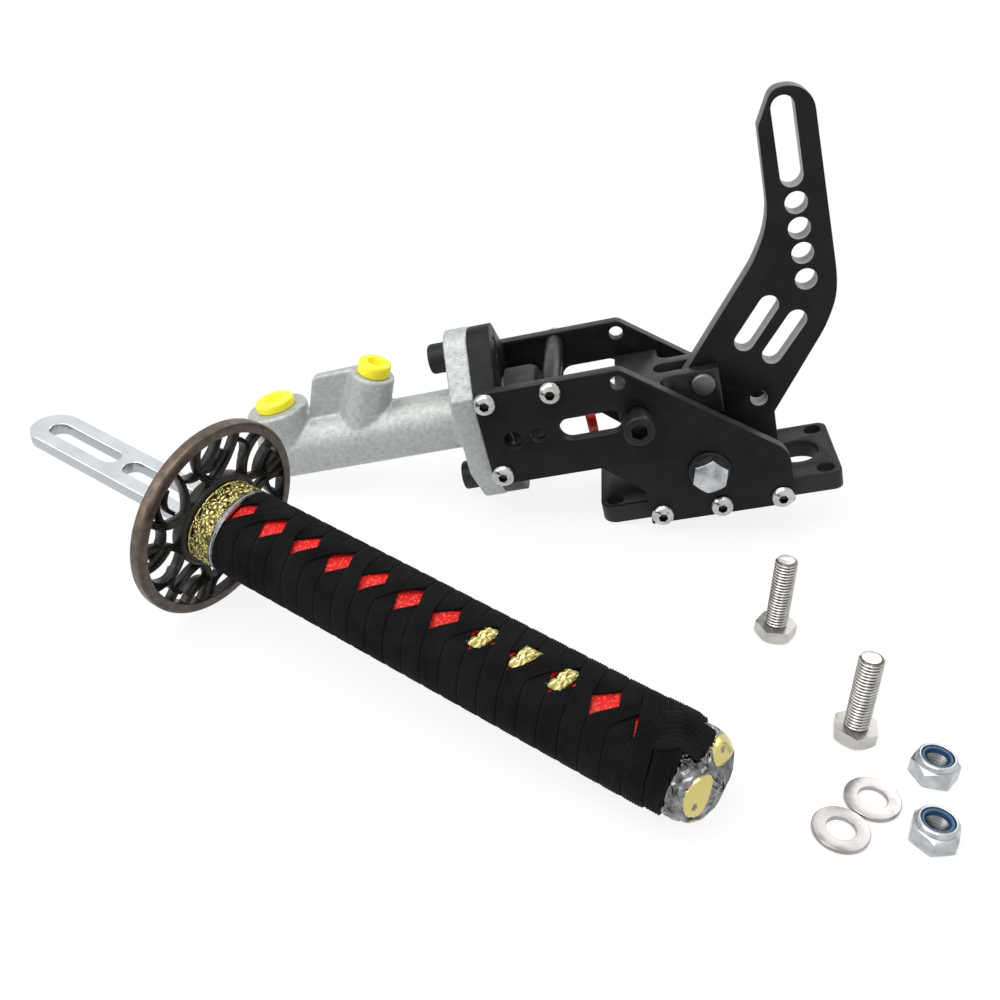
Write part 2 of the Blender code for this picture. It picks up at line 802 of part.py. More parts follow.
def build_bore_parts():
    bore = BORE_FIT
    land = 6.0
    neck = bore - 2.6
    rear = PISTON_START
    front = PISTON_END
    groove = rear + 16.0
    piston = turned(
        [
            (0, front),
            (bore - 3.0, front),
            (bore, front - 1),
            (bore, front - land),
            (neck, front - land - 2),
            (neck, groove + CUP_LENGTH + land + 2),
            (bore, groove + CUP_LENGTH + land),
            (bore, groove + CUP_LENGTH),
            (neck, groove + CUP_LENGTH),
            (neck, groove),
            (bore, groove),
            (bore, rear + 0.6),
            (bore - 0.6, rear),
            (SOCKET_DIA / 2, rear),
            (SOCKET_DIA / 2, rear + SOCKET_DEPTH - 2),
            (SOCKET_DIA / 4, rear + SOCKET_DEPTH + GAP),
            (0, rear + SOCKET_DEPTH + GAP),
        ],
        20,
    )
    slide = empty("piston_slide", at=(0, 0, PISTON_START), parent=cylinder_axis)
    piece("piston", moved(piston, (0, 0, -rear)), STAINLESS, slide)

    low = groove + SEAT - rear
    high = groove + CUP_LENGTH - SEAT - rear
    seal = turned(
        [
            (bore, high),
            (bore - 0.5, low),
            (neck + SEAT, low),
            (neck + SEAT, high - 2),
            (bore - 0.9, high),
        ],
        20,
        ring=True,
    )
    piece("secondary_cup", seal, RUBBER, slide)
    cup = turned(
        [
            (0, CUP_LENGTH - 3),
            (bore - 2.2, CUP_LENGTH - 3),
            (bore - 1.0, CUP_LENGTH),
            (bore, CUP_LENGTH),
            (bore - 0.5, 0),
            (0, 0),
        ],
        28,
    )
    piece("primary_cup", cup, RUBBER, slide, (0, 0, front + SEAT - rear))

    washer_low = CIRCLIP_PLACE + 1.6
    bore_washer = tube(2 * bore, 11.0, washer_low, washer_low + 1.5, 20)
    piece("stop_washer", bore_washer, ZINC_STEEL, cylinder_axis)
    clip = open_ring(2 * bore + 1.4, 2 * bore - 3.6, 40, 24)
    piece("circlip", slab([clip], 1.0), BLACK_STEEL, cylinder_axis, (0, 0, CIRCLIP_PLACE + 0.7))

    start = front + CUP_LENGTH - 3 + 2 * SEAT
    end = BORE_END - 1.0
    radius = bore - 3.4
    piece("return_spring", coil(radius, end - start), ZINC_STEEL, cylinder_axis, (0, 0, start))

    lip = ROD_DIA / 2 + 1.5
    outer = BOOT_RADIUS
    inner = SPIGOT_DIA / 2 + GAP
    boot = turned(
        [
            (outer, BOOT_FAR),
            (outer, BOOT_NEAR + 3.5),
            (outer - 1.0, BOOT_NEAR + 1.2),
            (outer - 3.2, BOOT_NEAR),
            (lip, BOOT_NEAR),
            (lip, BOOT_NEAR + BOOT_WALL),
            (inner - 2.0, BOOT_NEAR + BOOT_WALL),
            (inner, BOOT_NEAR + BOOT_WALL + 2),
            (inner, BOOT_FAR),
        ],
        28,
        ring=True,
    )
    piece("dust_boot", boot, RUBBER, cylinder_axis)


def open_ring(outer, inner, mouth, steps):
    """The outline of a C-shaped ring whose mouth is this many degrees wide."""
    first = math.radians(mouth / 2)
    turn = [first + (2 * math.pi - 2 * first) * step / steps for step in range(steps + 1)]
    outside = [(outer / 2 * math.cos(a), outer / 2 * math.sin(a)) for a in turn]
    inside = [(inner / 2 * math.cos(a), inner / 2 * math.sin(a)) for a in reversed(turn)]
    return outside + inside


def coil(radius, length):
    """A compression spring standing on height 0, as a wire on a helix."""
    curve = bpy.data.curves.new("coil", "CURVE")
    curve.dimensions = "3D"
    curve.bevel_depth = SPRING_WIRE / 2 * MM
    curve.bevel_resolution = 1
    curve.use_fill_caps = True
    steps = SPRING_TURNS * 10
    spline = curve.splines.new("POLY")
    spline.points.add(steps)
    rise = length - SPRING_WIRE
    for step, point in enumerate(spline.points):
        angle = 2 * math.pi * SPRING_TURNS * step / steps
        height = SPRING_WIRE / 2 + rise * step / steps
        point.co = (radius * math.cos(angle) * MM, radius * math.sin(angle) * MM, height * MM, 1)
    return baked(held("coil", curve))


# Rod and fork, about the fork's pin

def build_rod():
    tip = ROD_DIA / 2
    shaft = turned(
        [
            (0, ROD_TIP),
            (tip * 0.5, ROD_TIP - tip * 0.13),
            (tip * 0.87, ROD_TIP - tip * 0.5),
            (tip, ROD_TIP - tip),
            (tip, ROD_END + 0.8),
            (tip - 0.8, ROD_END),
            (0, ROD_END),
        ],
        24,
    )
    piece("pushrod", shaft, ZINC_STEEL, rod_axis)
    nut = hex_nut(JAM_RISE)
    piece("rod_lock_nut", nut, ZINC_STEEL, rod_axis, (0, 0, -FORK_LEFT + SEAT))

    outline = rounded(
        [
            (FORK_LEFT, -FORK_GUIDE_HALF, 1.5),
            (FORK_SHOULDER, -FORK_GUIDE_HALF, 1.5),
            (FORK_SHOULDER, -FORK_HALF, 5),
            (FORK_RIGHT, -FORK_HALF, 1),
            (FORK_RIGHT, -FORK_SLOT / 2, 0.5),
            (FORK_ROOT, -FORK_SLOT / 2, FORK_SLOT / 2 - 0.1),
            (FORK_ROOT, FORK_SLOT / 2, FORK_SLOT / 2 - 0.1),
            (FORK_RIGHT, FORK_SLOT / 2, 0.5),
            (FORK_RIGHT, FORK_HALF, 1),
            (FORK_SHOULDER, FORK_HALF, 5),
            (FORK_SHOULDER, FORK_GUIDE_HALF, 1.5),
            (FORK_LEFT, FORK_GUIDE_HALF, 1.5),
        ]
    )
    middle = FORK_TOP - FORK_HEIGHT / 2 - AXIS_Z
    fork = piece("clevis", slab([outline], FORK_HEIGHT), STAINLESS, fork_pivot, (0, 0, middle))
    cut(fork, rod(PIN_DIA + 2 * GAP, -FORK_HALF - 1, FORK_HALF + 1), fork_pivot, turn=FRONT)
    cut(fork, rod(ROD_DIA + 2 * GAP, ROD_END - 0.5, -FORK_LEFT + 1), rod_axis)

    seat = FORK_HALF + SEAT
    groove = seat + 0.4
    pin = turned(
        [
            (0, seat + PIN_HEAD),
            (PIN_HEAD_DIA / 2 - 0.6, seat + PIN_HEAD),
            (PIN_HEAD_DIA / 2, seat + PIN_HEAD - 0.6),
            (PIN_HEAD_DIA / 2, seat),
            (PIN_DIA / 2, seat),
            (PIN_DIA / 2, -groove),
            (PIN_DIA / 2 - 0.8, -groove),
            (PIN_DIA / 2 - 0.8, -groove - 1.1),
            (PIN_DIA / 2, -groove - 1.1),
            (PIN_DIA / 2, -groove - 2.2),
            (PIN_DIA / 2 - 0.6, -groove - 2.8),
            (0, -groove - 2.8),
        ],
        18,
    )
    piece("clevis_pin", pin, ZINC_STEEL, fork_pivot, turn=FRONT)
    clip = slab([open_ring(PIN_DIA + 5, PIN_DIA - 1.6 + 2 * SEAT, 70, 20)], 0.9)
    piece("clevis_pin_clip", clip, BLACK_STEEL, fork_pivot, (0, groove + 0.55, 0), (-90, 0, 0))

    band = tube(BAND_DIA, BAND_DIA - 2 * BAND_WALL, -BAND_WIDTH / 2, BAND_WIDTH / 2)
    hang = ROD_DIA / 2 + SEAT + BAND_WALL - BAND_DIA / 2
    piece("red_band", band, BAND_RED, fork_pivot, (BAND_X, 0, hang), (0, -90, 8))


# Lever on its pivot

def build_lever():
    outline = rounded(
        [
            (32.6, 146.0, 0),
            (38.5, LEVER_TOP, 4),
            (52.8, LEVER_TOP, 10),
            (53.2, 149.0, 0),
            (56.2, 86.0, 0),
            (55.6, 76.0, 12),
            (50.5, 64.5, 20),
            (27.0, 30.4, 3),
            (27.4, BASE_THICK + GAP, 2),
            (PIVOT_X + 8, BASE_THICK + GAP, 6),
            (PIVOT_X - 12, PIVOT_Z - 8, 11),
            (PIVOT_X - 12, 44.6, 8),
            (24.7, 95.1, 8),
            (33.0, 110.0, 12),
        ]
    )
    holes = [
        oblong(41.9, 150.9, 42.8, 126.2, LEVER_HOLE_DIA),
        oblong(29.5, 77.7, 18.6, 64.2, LEVER_SLOT_WIDTH),
        oblong(39.6, 69.6, 28.8, 56.5, LEVER_SLOT_WIDTH),
        circle(21.6, 38.2, 7.0, 20),
        circle(PIVOT_X, PIVOT_Z, BUSH_BORE, 28),
        circle(0, AXIS_Z, PIN_DIA + 2 * GAP),
    ]
    row = ((43.5, 115.9), (43.8, 106.0), (44.2, 96.1), (44.6, 85.5))
    holes += [circle(x, z, LEVER_HOLE_DIA) for x, z in row]
    about_pivot = [[(x - PIVOT_X, z - PIVOT_Z) for x, z in line] for line in [outline] + holes]
    piece("lever_plate", slab(about_pivot, LEVER_THICK), BLACK_PLATE, lever_pivot, turn=FRONT)

    width = FRAME_INNER_WIDTH / 2
    bush = tube(BUSH_DIA, M8_BORE, -width, width, 28)
    piece("pivot_bush", bush, BRONZE, lever_pivot, turn=FRONT)

    seat = SIDE_OUTER + SEAT
    outer = seat + WASHER_THICK + SEAT
    flat = washer()
    piece("pivot_washer_front", flat, BLACK_STEEL, stand, (PIVOT_X, -seat, PIVOT_Z), FRONT)
    piece("pivot_washer_rear", flat, BLACK_STEEL, stand, (PIVOT_X, seat, PIVOT_Z), REAR)
    length = 2 * outer + NUT_RISE + 2
    piece("pivot_bolt", hex_bolt(length), ZINC_STEEL, stand, (PIVOT_X, -outer, PIVOT_Z), (90, 15, 0))
    piece("pivot_nut", hex_nut(NUT_RISE), ZINC_STEEL, stand, (PIVOT_X, outer, PIVOT_Z), REAR)


# Handle on the floor, drawn along X from the guard's middle to the butt

def build_handle():
    pommel_at = HANDLE_LENGTH - POMMEL_LENGTH
    drop = GUARD_DIA / 2 - POMMEL_DIA / 2
    slope = math.atan2(drop, pommel_at + POMMEL_RIM - GUARD_THICK / 2)
    height = GUARD_DIA / 2 * math.cos(slope) + GUARD_THICK / 2 * math.sin(slope)
    handle = empty(
        "handle", at=(*GUARD_PLACE, height), turn=(0, math.degrees(slope), HANDLE_TURN)
    )
    grip = empty("grip", turn=(GRIP_ROLL, 0, 0), parent=handle)

    end = TANG_WIDTH / 2
    outline = rounded(
        [
            (-TANG_REACH, -end, end - 0.05),
            (TANG_INSIDE, -end, 2),
            (TANG_INSIDE, end, 2),
            (-TANG_REACH, end, end - 0.05),
        ]
    )
    slots = []
    for number in range(2):
        near = -TANG_SLOT_START - number * TANG_SLOT_STEP - TANG_SLOT_WIDTH / 2
        far = near - TANG_SLOT_LENGTH + TANG_SLOT_WIDTH
        slots.append(oblong(far, 0, near, 0, TANG_SLOT_WIDTH))
    piece("tang_bar", slab([outline] + slots, TANG_THICK), BAR_SILVER, handle)

    guard = piece("guard", guard_mesh(), GUARD_BRONZE, handle, turn=(0, 90, 0))

    start = GUARD_THICK / 2 + SEAT
    collar = slab([oval(GRIP_DEPTH, GRIP_WIDTH)], COLLAR_LENGTH)
    collar = piece("guard_collar", collar, OLD_GOLD, grip, (start + COLLAR_LENGTH / 2, 0, 0), (0, 90, 0))
    near = start + COLLAR_LENGTH + SEAT
    far = pommel_at - SEAT
    length = far - near
    middle = (near + far) / 2
    core_depth = GRIP_DEPTH - 2 * WRAP_THICK
    core_width = GRIP_WIDTH - 2 * WRAP_THICK
    core = slab([oval(core_depth, core_width)], length)
    core = piece("grip_core", core, GRIP_RED, grip, (middle, 0, 0), (0, 90, 0))
    for holder in (guard, collar, core):
        pocket = block(TANG_INSIDE + GAP + 20, TANG_WIDTH + 2 * GAP, TANG_THICK + 2 * GAP)
        cut(holder, pocket, handle, ((TANG_INSIDE + GAP - 20) / 2, 0, 0))

    sleeve = [oval(GRIP_DEPTH, GRIP_WIDTH), oval(core_depth + 2 * SEAT, core_width + 2 * SEAT)]
    wrap = piece("grip_wrap", slab(sleeve, length), CORD_BLACK, grip, (middle, 0, 0), (0, 90, 0))
    pitch = length / WRAP_CROSSINGS
    first_window = near + WINDOW_START
    outlines = [window_outline(first_window + pitch * number, pitch) for number in range(WINDOW_COUNT)]
    windows = slab(outlines, GRIP_DEPTH + 8)
    cut(wrap, windows, grip)
    for name, side, first in (("ornament_top", 1, ORNAMENT_FIRST), ("ornament_underside", -1, 1)):
        x = first_window + pitch * (first + 1)
        seat = side * (core_depth / 2 + SEAT)
        turn = (0, 0, 0) if side > 0 else (180, 0, 0)
        strip_length = pitch * (ORNAMENT_BOSSES - 0.4)
        deep = ORNAMENT_THICK + WRAP_THICK / 2
        pocket = block(strip_length + 2 * GAP, WINDOW_HALF_WIDTH + 2 * GAP, deep)
        cut(wrap, pocket, grip, (x, WINDOW_SIDE, seat + side * (ORNAMENT_THICK + GAP - deep / 2)))
        piece(name, ornament_mesh(strip_length, pitch), OLD_GOLD, grip, (x, WINDOW_SIDE, seat), turn)
    cut(wrap, knot_mesh(pitch), grip, (far - pitch / 2, 0, 0), operation="UNION")
    cut(wrap, tongue_mesh(), handle, (far, 0, 0), operation="UNION")

    radius = POMMEL_DIA / 2
    cap = turned(
        [
            (0, POMMEL_LENGTH),
            (radius * 0.45, POMMEL_LENGTH - 0.5),
            (radius * 0.75, POMMEL_LENGTH - 2.2),
            (radius * 0.93, POMMEL_LENGTH - 5.0),
            (radius, POMMEL_RIM),
            (radius, 0),
            (0, 0),
        ],
        32,
    )
    piece("pommel_cap", cap, GUNMETAL, handle, (pommel_at, 0, 0), (0, 90, 0))


def window_outline(x, pitch):
    """One window of the wrap; it leans, because one band crosses more steeply than the other."""
    half = pitch * 0.3
    y = WINDOW_SIDE
    return [
        (x - half, y),
        (x - WINDOW_LEAN, y - WINDOW_HALF_WIDTH),
        (x + half, y),
        (x + WINDOW_LEAN, y + WINDOW_HALF_WIDTH),
    ]


def ornament_mesh(length, pitch):
    """A thin strip under the wrap that carries one raised leaf for each window."""
    shape = moved(block(length, WINDOW_HALF_WIDTH, ORNAMENT_THICK), (0, 0, ORNAMENT_THICK / 2))
    half = pitch * 0.3 - 1.6
    side = WINDOW_HALF_WIDTH - 2.4
    thick = WRAP_THICK + 0.3
    tip = half * 0.35
    belly = half * 0.7
    outline = [(-half, 0, tip), (-0.6, -side, belly), (half, 0, tip), (0.6, side, belly)]
    for number in range(ORNAMENT_BOSSES):
        x = pitch * (number - (ORNAMENT_BOSSES - 1) / 2)
        leaf = moved(slab([rounded(outline)], thick), (x, 0, thick / 2))
        shape = shaped(shape, ("UNION", leaf))
    return shape


def crown(shape, width, reach):
    """The part of a ring about X that lies on top, this wide."""
    return shaped(shape, ("INTERSECT", moved(block(2 * reach, width, 40.0), (0, 0, 20.0))))


def knot_mesh(length):
    """The knot on top of the wrap's last turns, about the grip's own line."""
    outside = oval(GRIP_DEPTH + 2 * KNOT_RISE, GRIP_WIDTH + 2 * KNOT_RISE)
    inside = oval(GRIP_DEPTH - WRAP_THICK, GRIP_WIDTH - WRAP_THICK)
    return crown(moved(slab([outside, inside], length), turn=(0, 90, 0)), KNOT_WIDTH, length)


def tongue_mesh():
    """The tongue of cord from the knot over the cap's rim."""
    inner = POMMEL_DIA / 2 + SEAT
    outer = GRIP_DEPTH / 2 + KNOT_RISE - 0.3
    ring = tube(2 * outer, 2 * inner, -1, TONGUE_LENGTH, 36)
    return crown(moved(ring, turn=(0, 90, 0)), TONGUE_WIDTH, 2 * TONGUE_LENGTH)


def guard_mesh():
    """A rim and an oval hub with branches between them, each a little thinner or thicker."""
    rim = slab([circle(0, 0, GUARD_DIA, 60), circle(0, 0, GUARD_DIA - 2 * GUARD_RIM, 48)], GUARD_THICK)
    lie = math.radians(GRIP_ROLL)
    wide = GRIP_WIDTH + 2 * HUB_MARGIN
    deep = GRIP_DEPTH + 2 * HUB_MARGIN
    hub = moved(slab([oval(deep, wide, 28)], GUARD_THICK - 0.3), turn=(0, 0, GRIP_ROLL))
    shape = rim
    middle_lines = {}

    def hub_point(degrees):
        angle = math.radians(degrees)
        x = deep / 2 * 0.9 * math.cos(angle)
        y = wide / 2 * 0.9 * math.sin(angle)
        return Vector((x * math.cos(lie) - y * math.sin(lie), x * math.sin(lie) + y * math.cos(lie)))

    def add_strip(first, degrees, bow, width):
        reach = GUARD_DIA / 2 - GUARD_RIM / 2
        last = Vector((reach * math.cos(math.radians(degrees)), reach * math.sin(math.radians(degrees))))
        line = bowed_line(first, last, bow)
        thick = BRANCH_THIN + BRANCH_STEP * len(middle_lines)
        middle_lines[degrees] = line
        return shaped(shape, ("UNION", slab([strip_outline(line, width)], thick)))

    branch_rims = {hub_degrees: rim_degrees for hub_degrees, rim_degrees, _, _ in BRANCHES}
    for hub_degrees, rim_degrees, bow, width in BRANCHES:
        shape = add_strip(hub_point(hub_degrees), rim_degrees, bow, width)
    for hub_degrees, rim_degrees, bow, width in TWIGS:
        line = middle_lines[branch_rims[hub_degrees]]
        shape = add_strip(line[len(line) // 2], rim_degrees, bow, width)
    return shaped(shape, ("UNION", hub))


def bowed_line(first, last, bow, steps=4):
    """Points on a curve that bows to the left of the straight way."""
    way = (last - first).normalized()
    control = (first + last) / 2 + Vector((-way.y, way.x)) * 2 * bow
    line = []
    for step in range(steps + 1):
        t = step / steps
        line.append(first * (1 - t) ** 2 + control * (2 * t * (1 - t)) + last * t**2)
    return line


def strip_outline(line, width):
    """A strip about a line, slightly narrower at its outer end."""
    left = []
    right = []
    for index, point in enumerate(line):
        ahead = line[min(index + 1, len(line) - 1)] - line[max(index - 1, 0)]
        side = Vector((-ahead.y, ahead.x)).normalized() * width / 2 * (1 - 0.06 * index)
        left.append(tuple(point + side))
        right.append(tuple(point - side))
    return left + right[::-1]


# Loose hardware on the floor

def build_hardware():
    hardware = empty("hardware")
    bolt = hex_bolt(LOOSE_SHANK)
    for number, (x, y) in enumerate(LOOSE_BOLTS, 1):
        piece(f"loose_bolt_{number}", bolt, STAINLESS, hardware, (x, y, HEX_RISE), (180, 0, 25 * number))
    flat = washer()
    for number, (x, y) in enumerate(LOOSE_WASHERS, 1):
        piece(f"loose_washer_{number}", flat, STAINLESS, hardware, (x, y, 0))
    nut = lock_nut()
    ring = nylon_ring()
    for number, (x, y) in enumerate(LOOSE_NUTS, 1):
        piece(f"loose_nut_{number}", nut, ZINC_STEEL, hardware, (x, y, 0), (0, 0, 20 * number))
        piece(f"nut_ring_{number}", ring, NYLON, hardware, (x, y, 0))


def centre_on_origin():
    """Shifts everything in plan, so that its bounding box has the origin below its middle."""
    bpy.context.view_layer.update()
    graph = bpy.context.evaluated_depsgraph_get()
    corners = []
    for obj in part_set.objects:
        if obj.type == "MESH":
            shown = obj.evaluated_get(graph)
            corners += [shown.matrix_world @ vertex.co for vertex in shown.data.vertices]
    shift = [(min(c[axis] for c in corners) + max(c[axis] for c in corners)) / 2 for axis in (0, 1)]
    for obj in part_set.objects:
        if obj.parent is None:
            obj.location.x -= shift[0]
            obj.location.y -= shift[1]


build_frame()
build_end_plate()
build_cylinder()
build_bore_parts()
build_rod()
build_lever()
build_handle()
build_hardware()
centre_on_origin()
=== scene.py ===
# Dresses the hydraulic hand brake kit: plate frame, cast cylinder, sword-style handle and loose hardware.
# Lengths are in millimetres and turned into metres where a mesh is made.

import math

import bmesh
import bpy
from mathutils import Euler, Matrix, Vector, noise


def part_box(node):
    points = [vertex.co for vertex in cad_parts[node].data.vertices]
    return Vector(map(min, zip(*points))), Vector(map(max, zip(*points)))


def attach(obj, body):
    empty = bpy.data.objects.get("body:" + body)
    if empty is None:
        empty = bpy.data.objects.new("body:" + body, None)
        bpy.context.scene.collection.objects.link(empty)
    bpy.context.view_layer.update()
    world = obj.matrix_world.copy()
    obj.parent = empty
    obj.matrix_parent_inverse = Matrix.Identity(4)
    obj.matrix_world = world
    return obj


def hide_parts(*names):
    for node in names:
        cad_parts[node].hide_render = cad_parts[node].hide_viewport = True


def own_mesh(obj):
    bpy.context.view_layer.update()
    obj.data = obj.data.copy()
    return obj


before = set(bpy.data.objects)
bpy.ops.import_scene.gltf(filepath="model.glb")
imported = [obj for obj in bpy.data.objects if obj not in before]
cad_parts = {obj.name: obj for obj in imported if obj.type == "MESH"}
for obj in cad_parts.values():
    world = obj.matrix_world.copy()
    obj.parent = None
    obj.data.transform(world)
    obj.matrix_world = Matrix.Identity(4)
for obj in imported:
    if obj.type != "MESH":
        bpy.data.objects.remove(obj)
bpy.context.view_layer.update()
print("frame loaded")

mm = 0.001


# Places: everything hangs on two anchors that are measured from the frame's own nodes

def shifted(x=0.0, y=0.0, z=0.0):
    return Matrix.Translation(Vector((x, y, z)) * mm)


def turned(x=0.0, y=0.0, z=0.0):
    return Euler([math.radians(angle) for angle in (x, y, z)]).to_matrix().to_4x4()


def linkedObject(name, data):
    obj = bpy.data.objects.new(name, data)
    bpy.context.scene.collection.objects.link(obj)
    return obj


def middleOf(node):
    low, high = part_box(node)
    return (low + high) / 2


standLayout = {"tip": 13.399, "baseThick": 8.0, "axisHeight": 51.5, "pivot": (-3.0, 22.0), "sideMiddle": 25.0}
handleLayout = {"slope": 6.99, "heading": -27.9, "roll": 20.0}

standTurn = turned(y=-standLayout["tip"])
standAt = middleOf("base_plate") - standTurn @ Vector((0, 0, standLayout["baseThick"] / 2 * mm))
standFrame = Matrix.Translation(standAt) @ standTurn
axisFrame = standFrame @ shifted(z=standLayout["axisHeight"])
cylinderFrame = axisFrame @ turned(y=-90)
pivotX, pivotZ = standLayout["pivot"]
pivotFrame = standFrame @ shifted(pivotX, 0, pivotZ)
handleFrame = Matrix.Translation(middleOf("guard")) @ turned(y=handleLayout["slope"], z=handleLayout["heading"])
gripFrame = handleFrame @ turned(x=handleLayout["roll"])
towardFront = turned(x=90)
towardRear = turned(x=-90)


# Camera, lamps, world and floor

view = {"offset": (-62.9, -401.5), "height": 245.7, "tilt": 58.25, "pan": 4.63, "lens": 37.765}

camera = linkedObject("camera", bpy.data.cameras.new("camera"))
camera.location = (standAt.x + view["offset"][0] * mm, standAt.y + view["offset"][1] * mm, view["height"] * mm)
camera.rotation_euler = (math.radians(view["tilt"]), 0, math.radians(view["pan"]))
camera.data.lens = view["lens"]
camera.data.clip_start = 0.01
bpy.context.scene.camera = camera
bpy.context.scene.view_settings.view_transform = "Standard"

lamps = {
    "overhead": {"at": (-0.25, -0.30, 1.15), "size": 1.1, "watts": 9.0},
    "leftSide": {"at": (-1.00, -0.45, 0.70), "size": 0.9, "watts": 5.0},
    "rearSide": {"at": (0.70, 0.95, 0.85), "size": 0.9, "watts": 5.0},
}
lampAim = Vector((0, 0, 0.05))
studio = {"ambient": 0.75, "reach": 6.0, "drop": 0.0002, "tone": 0.86, "shadow": 0.14, "shadowFade": (0.24, 0.42)}

for name, lamp in lamps.items():
    light = bpy.data.lights.new(name, "AREA")
    light.shape = "DISK"
    light.size = lamp["size"]
    light.energy = lamp["watts"]
    holder = linkedObject(name, light)
    holder.location = lamp["at"]
    holder.rotation_euler = (lampAim - Vector(lamp["at"])).to_track_quat("-Z", "Y").to_euler()


def ranged(tree, source, low, high, fromLow=0.3, fromHigh=0.7):
    # the source's span between fromLow and fromHigh, spread from low to high
    node = tree.nodes.new("ShaderNodeMapRange")
    node.inputs["From Min"].default_value = fromLow
    node.inputs["From Max"].default_value = fromHigh
    node.inputs["To Min"].default_value = low
    node.inputs["To Max"].default_value = high
    tree.links.new(source, node.inputs["Value"])
    return node.outputs["Result"]


def seenRays(tree):
    # 1 for what the camera sees, straight or in gloss and glass, and 0 for what lights the object
    path = tree.nodes.new("ShaderNodeLightPath")
    seen = path.outputs["Is Camera Ray"]
    for kind in ("Is Glossy Ray", "Is Transmission Ray"):
        either = tree.nodes.new("ShaderNodeMath")
        either.operation = "MAXIMUM"
        tree.links.new(seen, either.inputs[0])
        tree.links.new(path.outputs[kind], either.inputs[1])
        seen = either.outputs[0]
    return seen


def makeWorld():
    world = bpy.data.worlds.new("studio")
    world.use_nodes = True
    bpy.context.scene.world = world
    tree = world.node_tree
    back = tree.nodes["Background"]
    back.inputs["Color"].default_value = (1, 1, 1, 1)
    tree.links.new(ranged(tree, seenRays(tree), studio["ambient"], 1.0, 0.0, 1.0), back.inputs["Strength"])


def makeFloor():
    reach, tone = studio["reach"], studio["tone"]
    mesh = bpy.data.meshes.new("floor")
    corners = [(-reach, -reach, 0), (reach, -reach, 0), (reach, reach, 0), (-reach, reach, 0)]
    mesh.from_pydata(corners, [], [(0, 1, 2, 3)])
    floor = linkedObject("floor", mesh)
    floor.location.z = -studio["drop"]
    paint = bpy.data.materials.new("paleFloor")
    paint.use_nodes = True
    tree = paint.node_tree
    plain = tree.nodes["Principled BSDF"]
    plain.inputs["Base Color"].default_value = (tone, tone, tone, 1)
    plain.inputs["Roughness"].default_value = 0.9
    plain.inputs["Specular IOR Level"].default_value = 0.1
    glow = tree.nodes.new("ShaderNodeEmission")
    blend = tree.nodes.new("ShaderNodeMixShader")
    share = tree.nodes.new("ShaderNodeMath")
    share.operation = "MULTIPLY"
    away = tree.nodes.new("ShaderNodeVectorMath")
    away.operation = "LENGTH"
    tree.links.new(tree.nodes.new("ShaderNodeTexCoord").outputs["Object"], away.inputs[0])
    fading = ranged(tree, away.outputs["Value"], 1 - studio["shadow"], 1.0, *studio["shadowFade"])
    tree.links.new(fading, share.inputs[1])
    tree.links.new(seenRays(tree), share.inputs[0])
    tree.links.new(share.outputs[0], blend.inputs["Fac"])
    tree.links.new(plain.outputs[0], blend.inputs[1])
    tree.links.new(glow.outputs[0], blend.inputs[2])
    tree.links.new(blend.outputs[0], tree.nodes["Material Output"].inputs["Surface"])
    mesh.materials.append(paint)


makeWorld()
makeFloor()
print("camera and studio ready")


# Finishes: colour patches, a roughness that varies with a noise of its own, and fine relief

def objectNoise(tree, scale, detail=3.0):
    place = tree.nodes.new("ShaderNodeTexCoord").outputs["Object"]
    cloud = tree.nodes.new("ShaderNodeTexNoise")
    cloud.inputs["Scale"].default_value = scale
    cloud.inputs["Detail"].default_value = detail
    tree.links.new(place, cloud.inputs["Vector"])
    return cloud.outputs["Fac"]


def blended(tree, share, first, second):
    node = tree.nodes.new("ShaderNodeMix")
    node.data_type = "RGBA"
    for socket, value in zip((node.inputs[6], node.inputs[7]), (first, second)):
        if isinstance(value, bpy.types.NodeSocket):
            tree.links.new(value, socket)
        else:
            socket.default_value = (*value, 1)
    tree.links.new(share, node.inputs[0])
    return node.outputs[2]


def attributeOf(tree, name):
    node = tree.nodes.new("ShaderNodeAttribute")
    node.attribute_name = name
    return node.outputs["Fac"]


def finish(name, look):
    made = bpy.data.materials.new(name)
    made.use_nodes = True
    tree = made.node_tree
    surface = tree.nodes["Principled BSDF"]
    surface.inputs["Metallic"].default_value = look.get("metal", 0.0)
    for socket, value in look.get("fixed", {}).items():
        surface.inputs[socket].default_value = value
    patches = objectNoise(tree, look.get("patchScale", 90.0), 4.0)
    colour = blended(tree, ranged(tree, patches, 0, 1), look["dark"], look["light"])
    if "marked" in look:  # a second colour wherever the piece's own attribute says so
        mark, other = look["marked"]
        worn = tree.nodes.new("ShaderNodeMath")
        worn.operation = "MULTIPLY"
        tree.links.new(attributeOf(tree, mark), worn.inputs[0])
        tree.links.new(ranged(tree, patches, look.get("worn", 1.0), 1.0), worn.inputs[1])
        colour = blended(tree, worn.outputs[0], colour, other)
    if "dots" in look:  # small raised grains of a lighter colour
        grains = tree.nodes.new("ShaderNodeTexVoronoi")
        grains.inputs["Scale"].default_value = look["dots"][0]
        tree.links.new(tree.nodes.new("ShaderNodeTexCoord").outputs["Object"], grains.inputs["Vector"])
        colour = blended(tree, ranged(tree, grains.outputs["Distance"], 1, 0, 0.15, 0.45), colour, look["dots"][1])
    tree.links.new(colour, surface.inputs["Base Color"])
    rough = ranged(tree, objectNoise(tree, look.get("roughScale", 260.0)), *look["rough"])
    tree.links.new(rough, surface.inputs["Roughness"])
    relief = tree.nodes.new("ShaderNodeBump")
    relief.inputs["Strength"].default_value = look["bump"]
    relief.inputs["Distance"].default_value = look.get("depth", 0.0001)
    tree.links.new(objectNoise(tree, look.get("grain", 2500.0), 2.0), relief.inputs["Height"])
    tree.links.new(relief.outputs["Normal"], surface.inputs["Normal"])
    return made


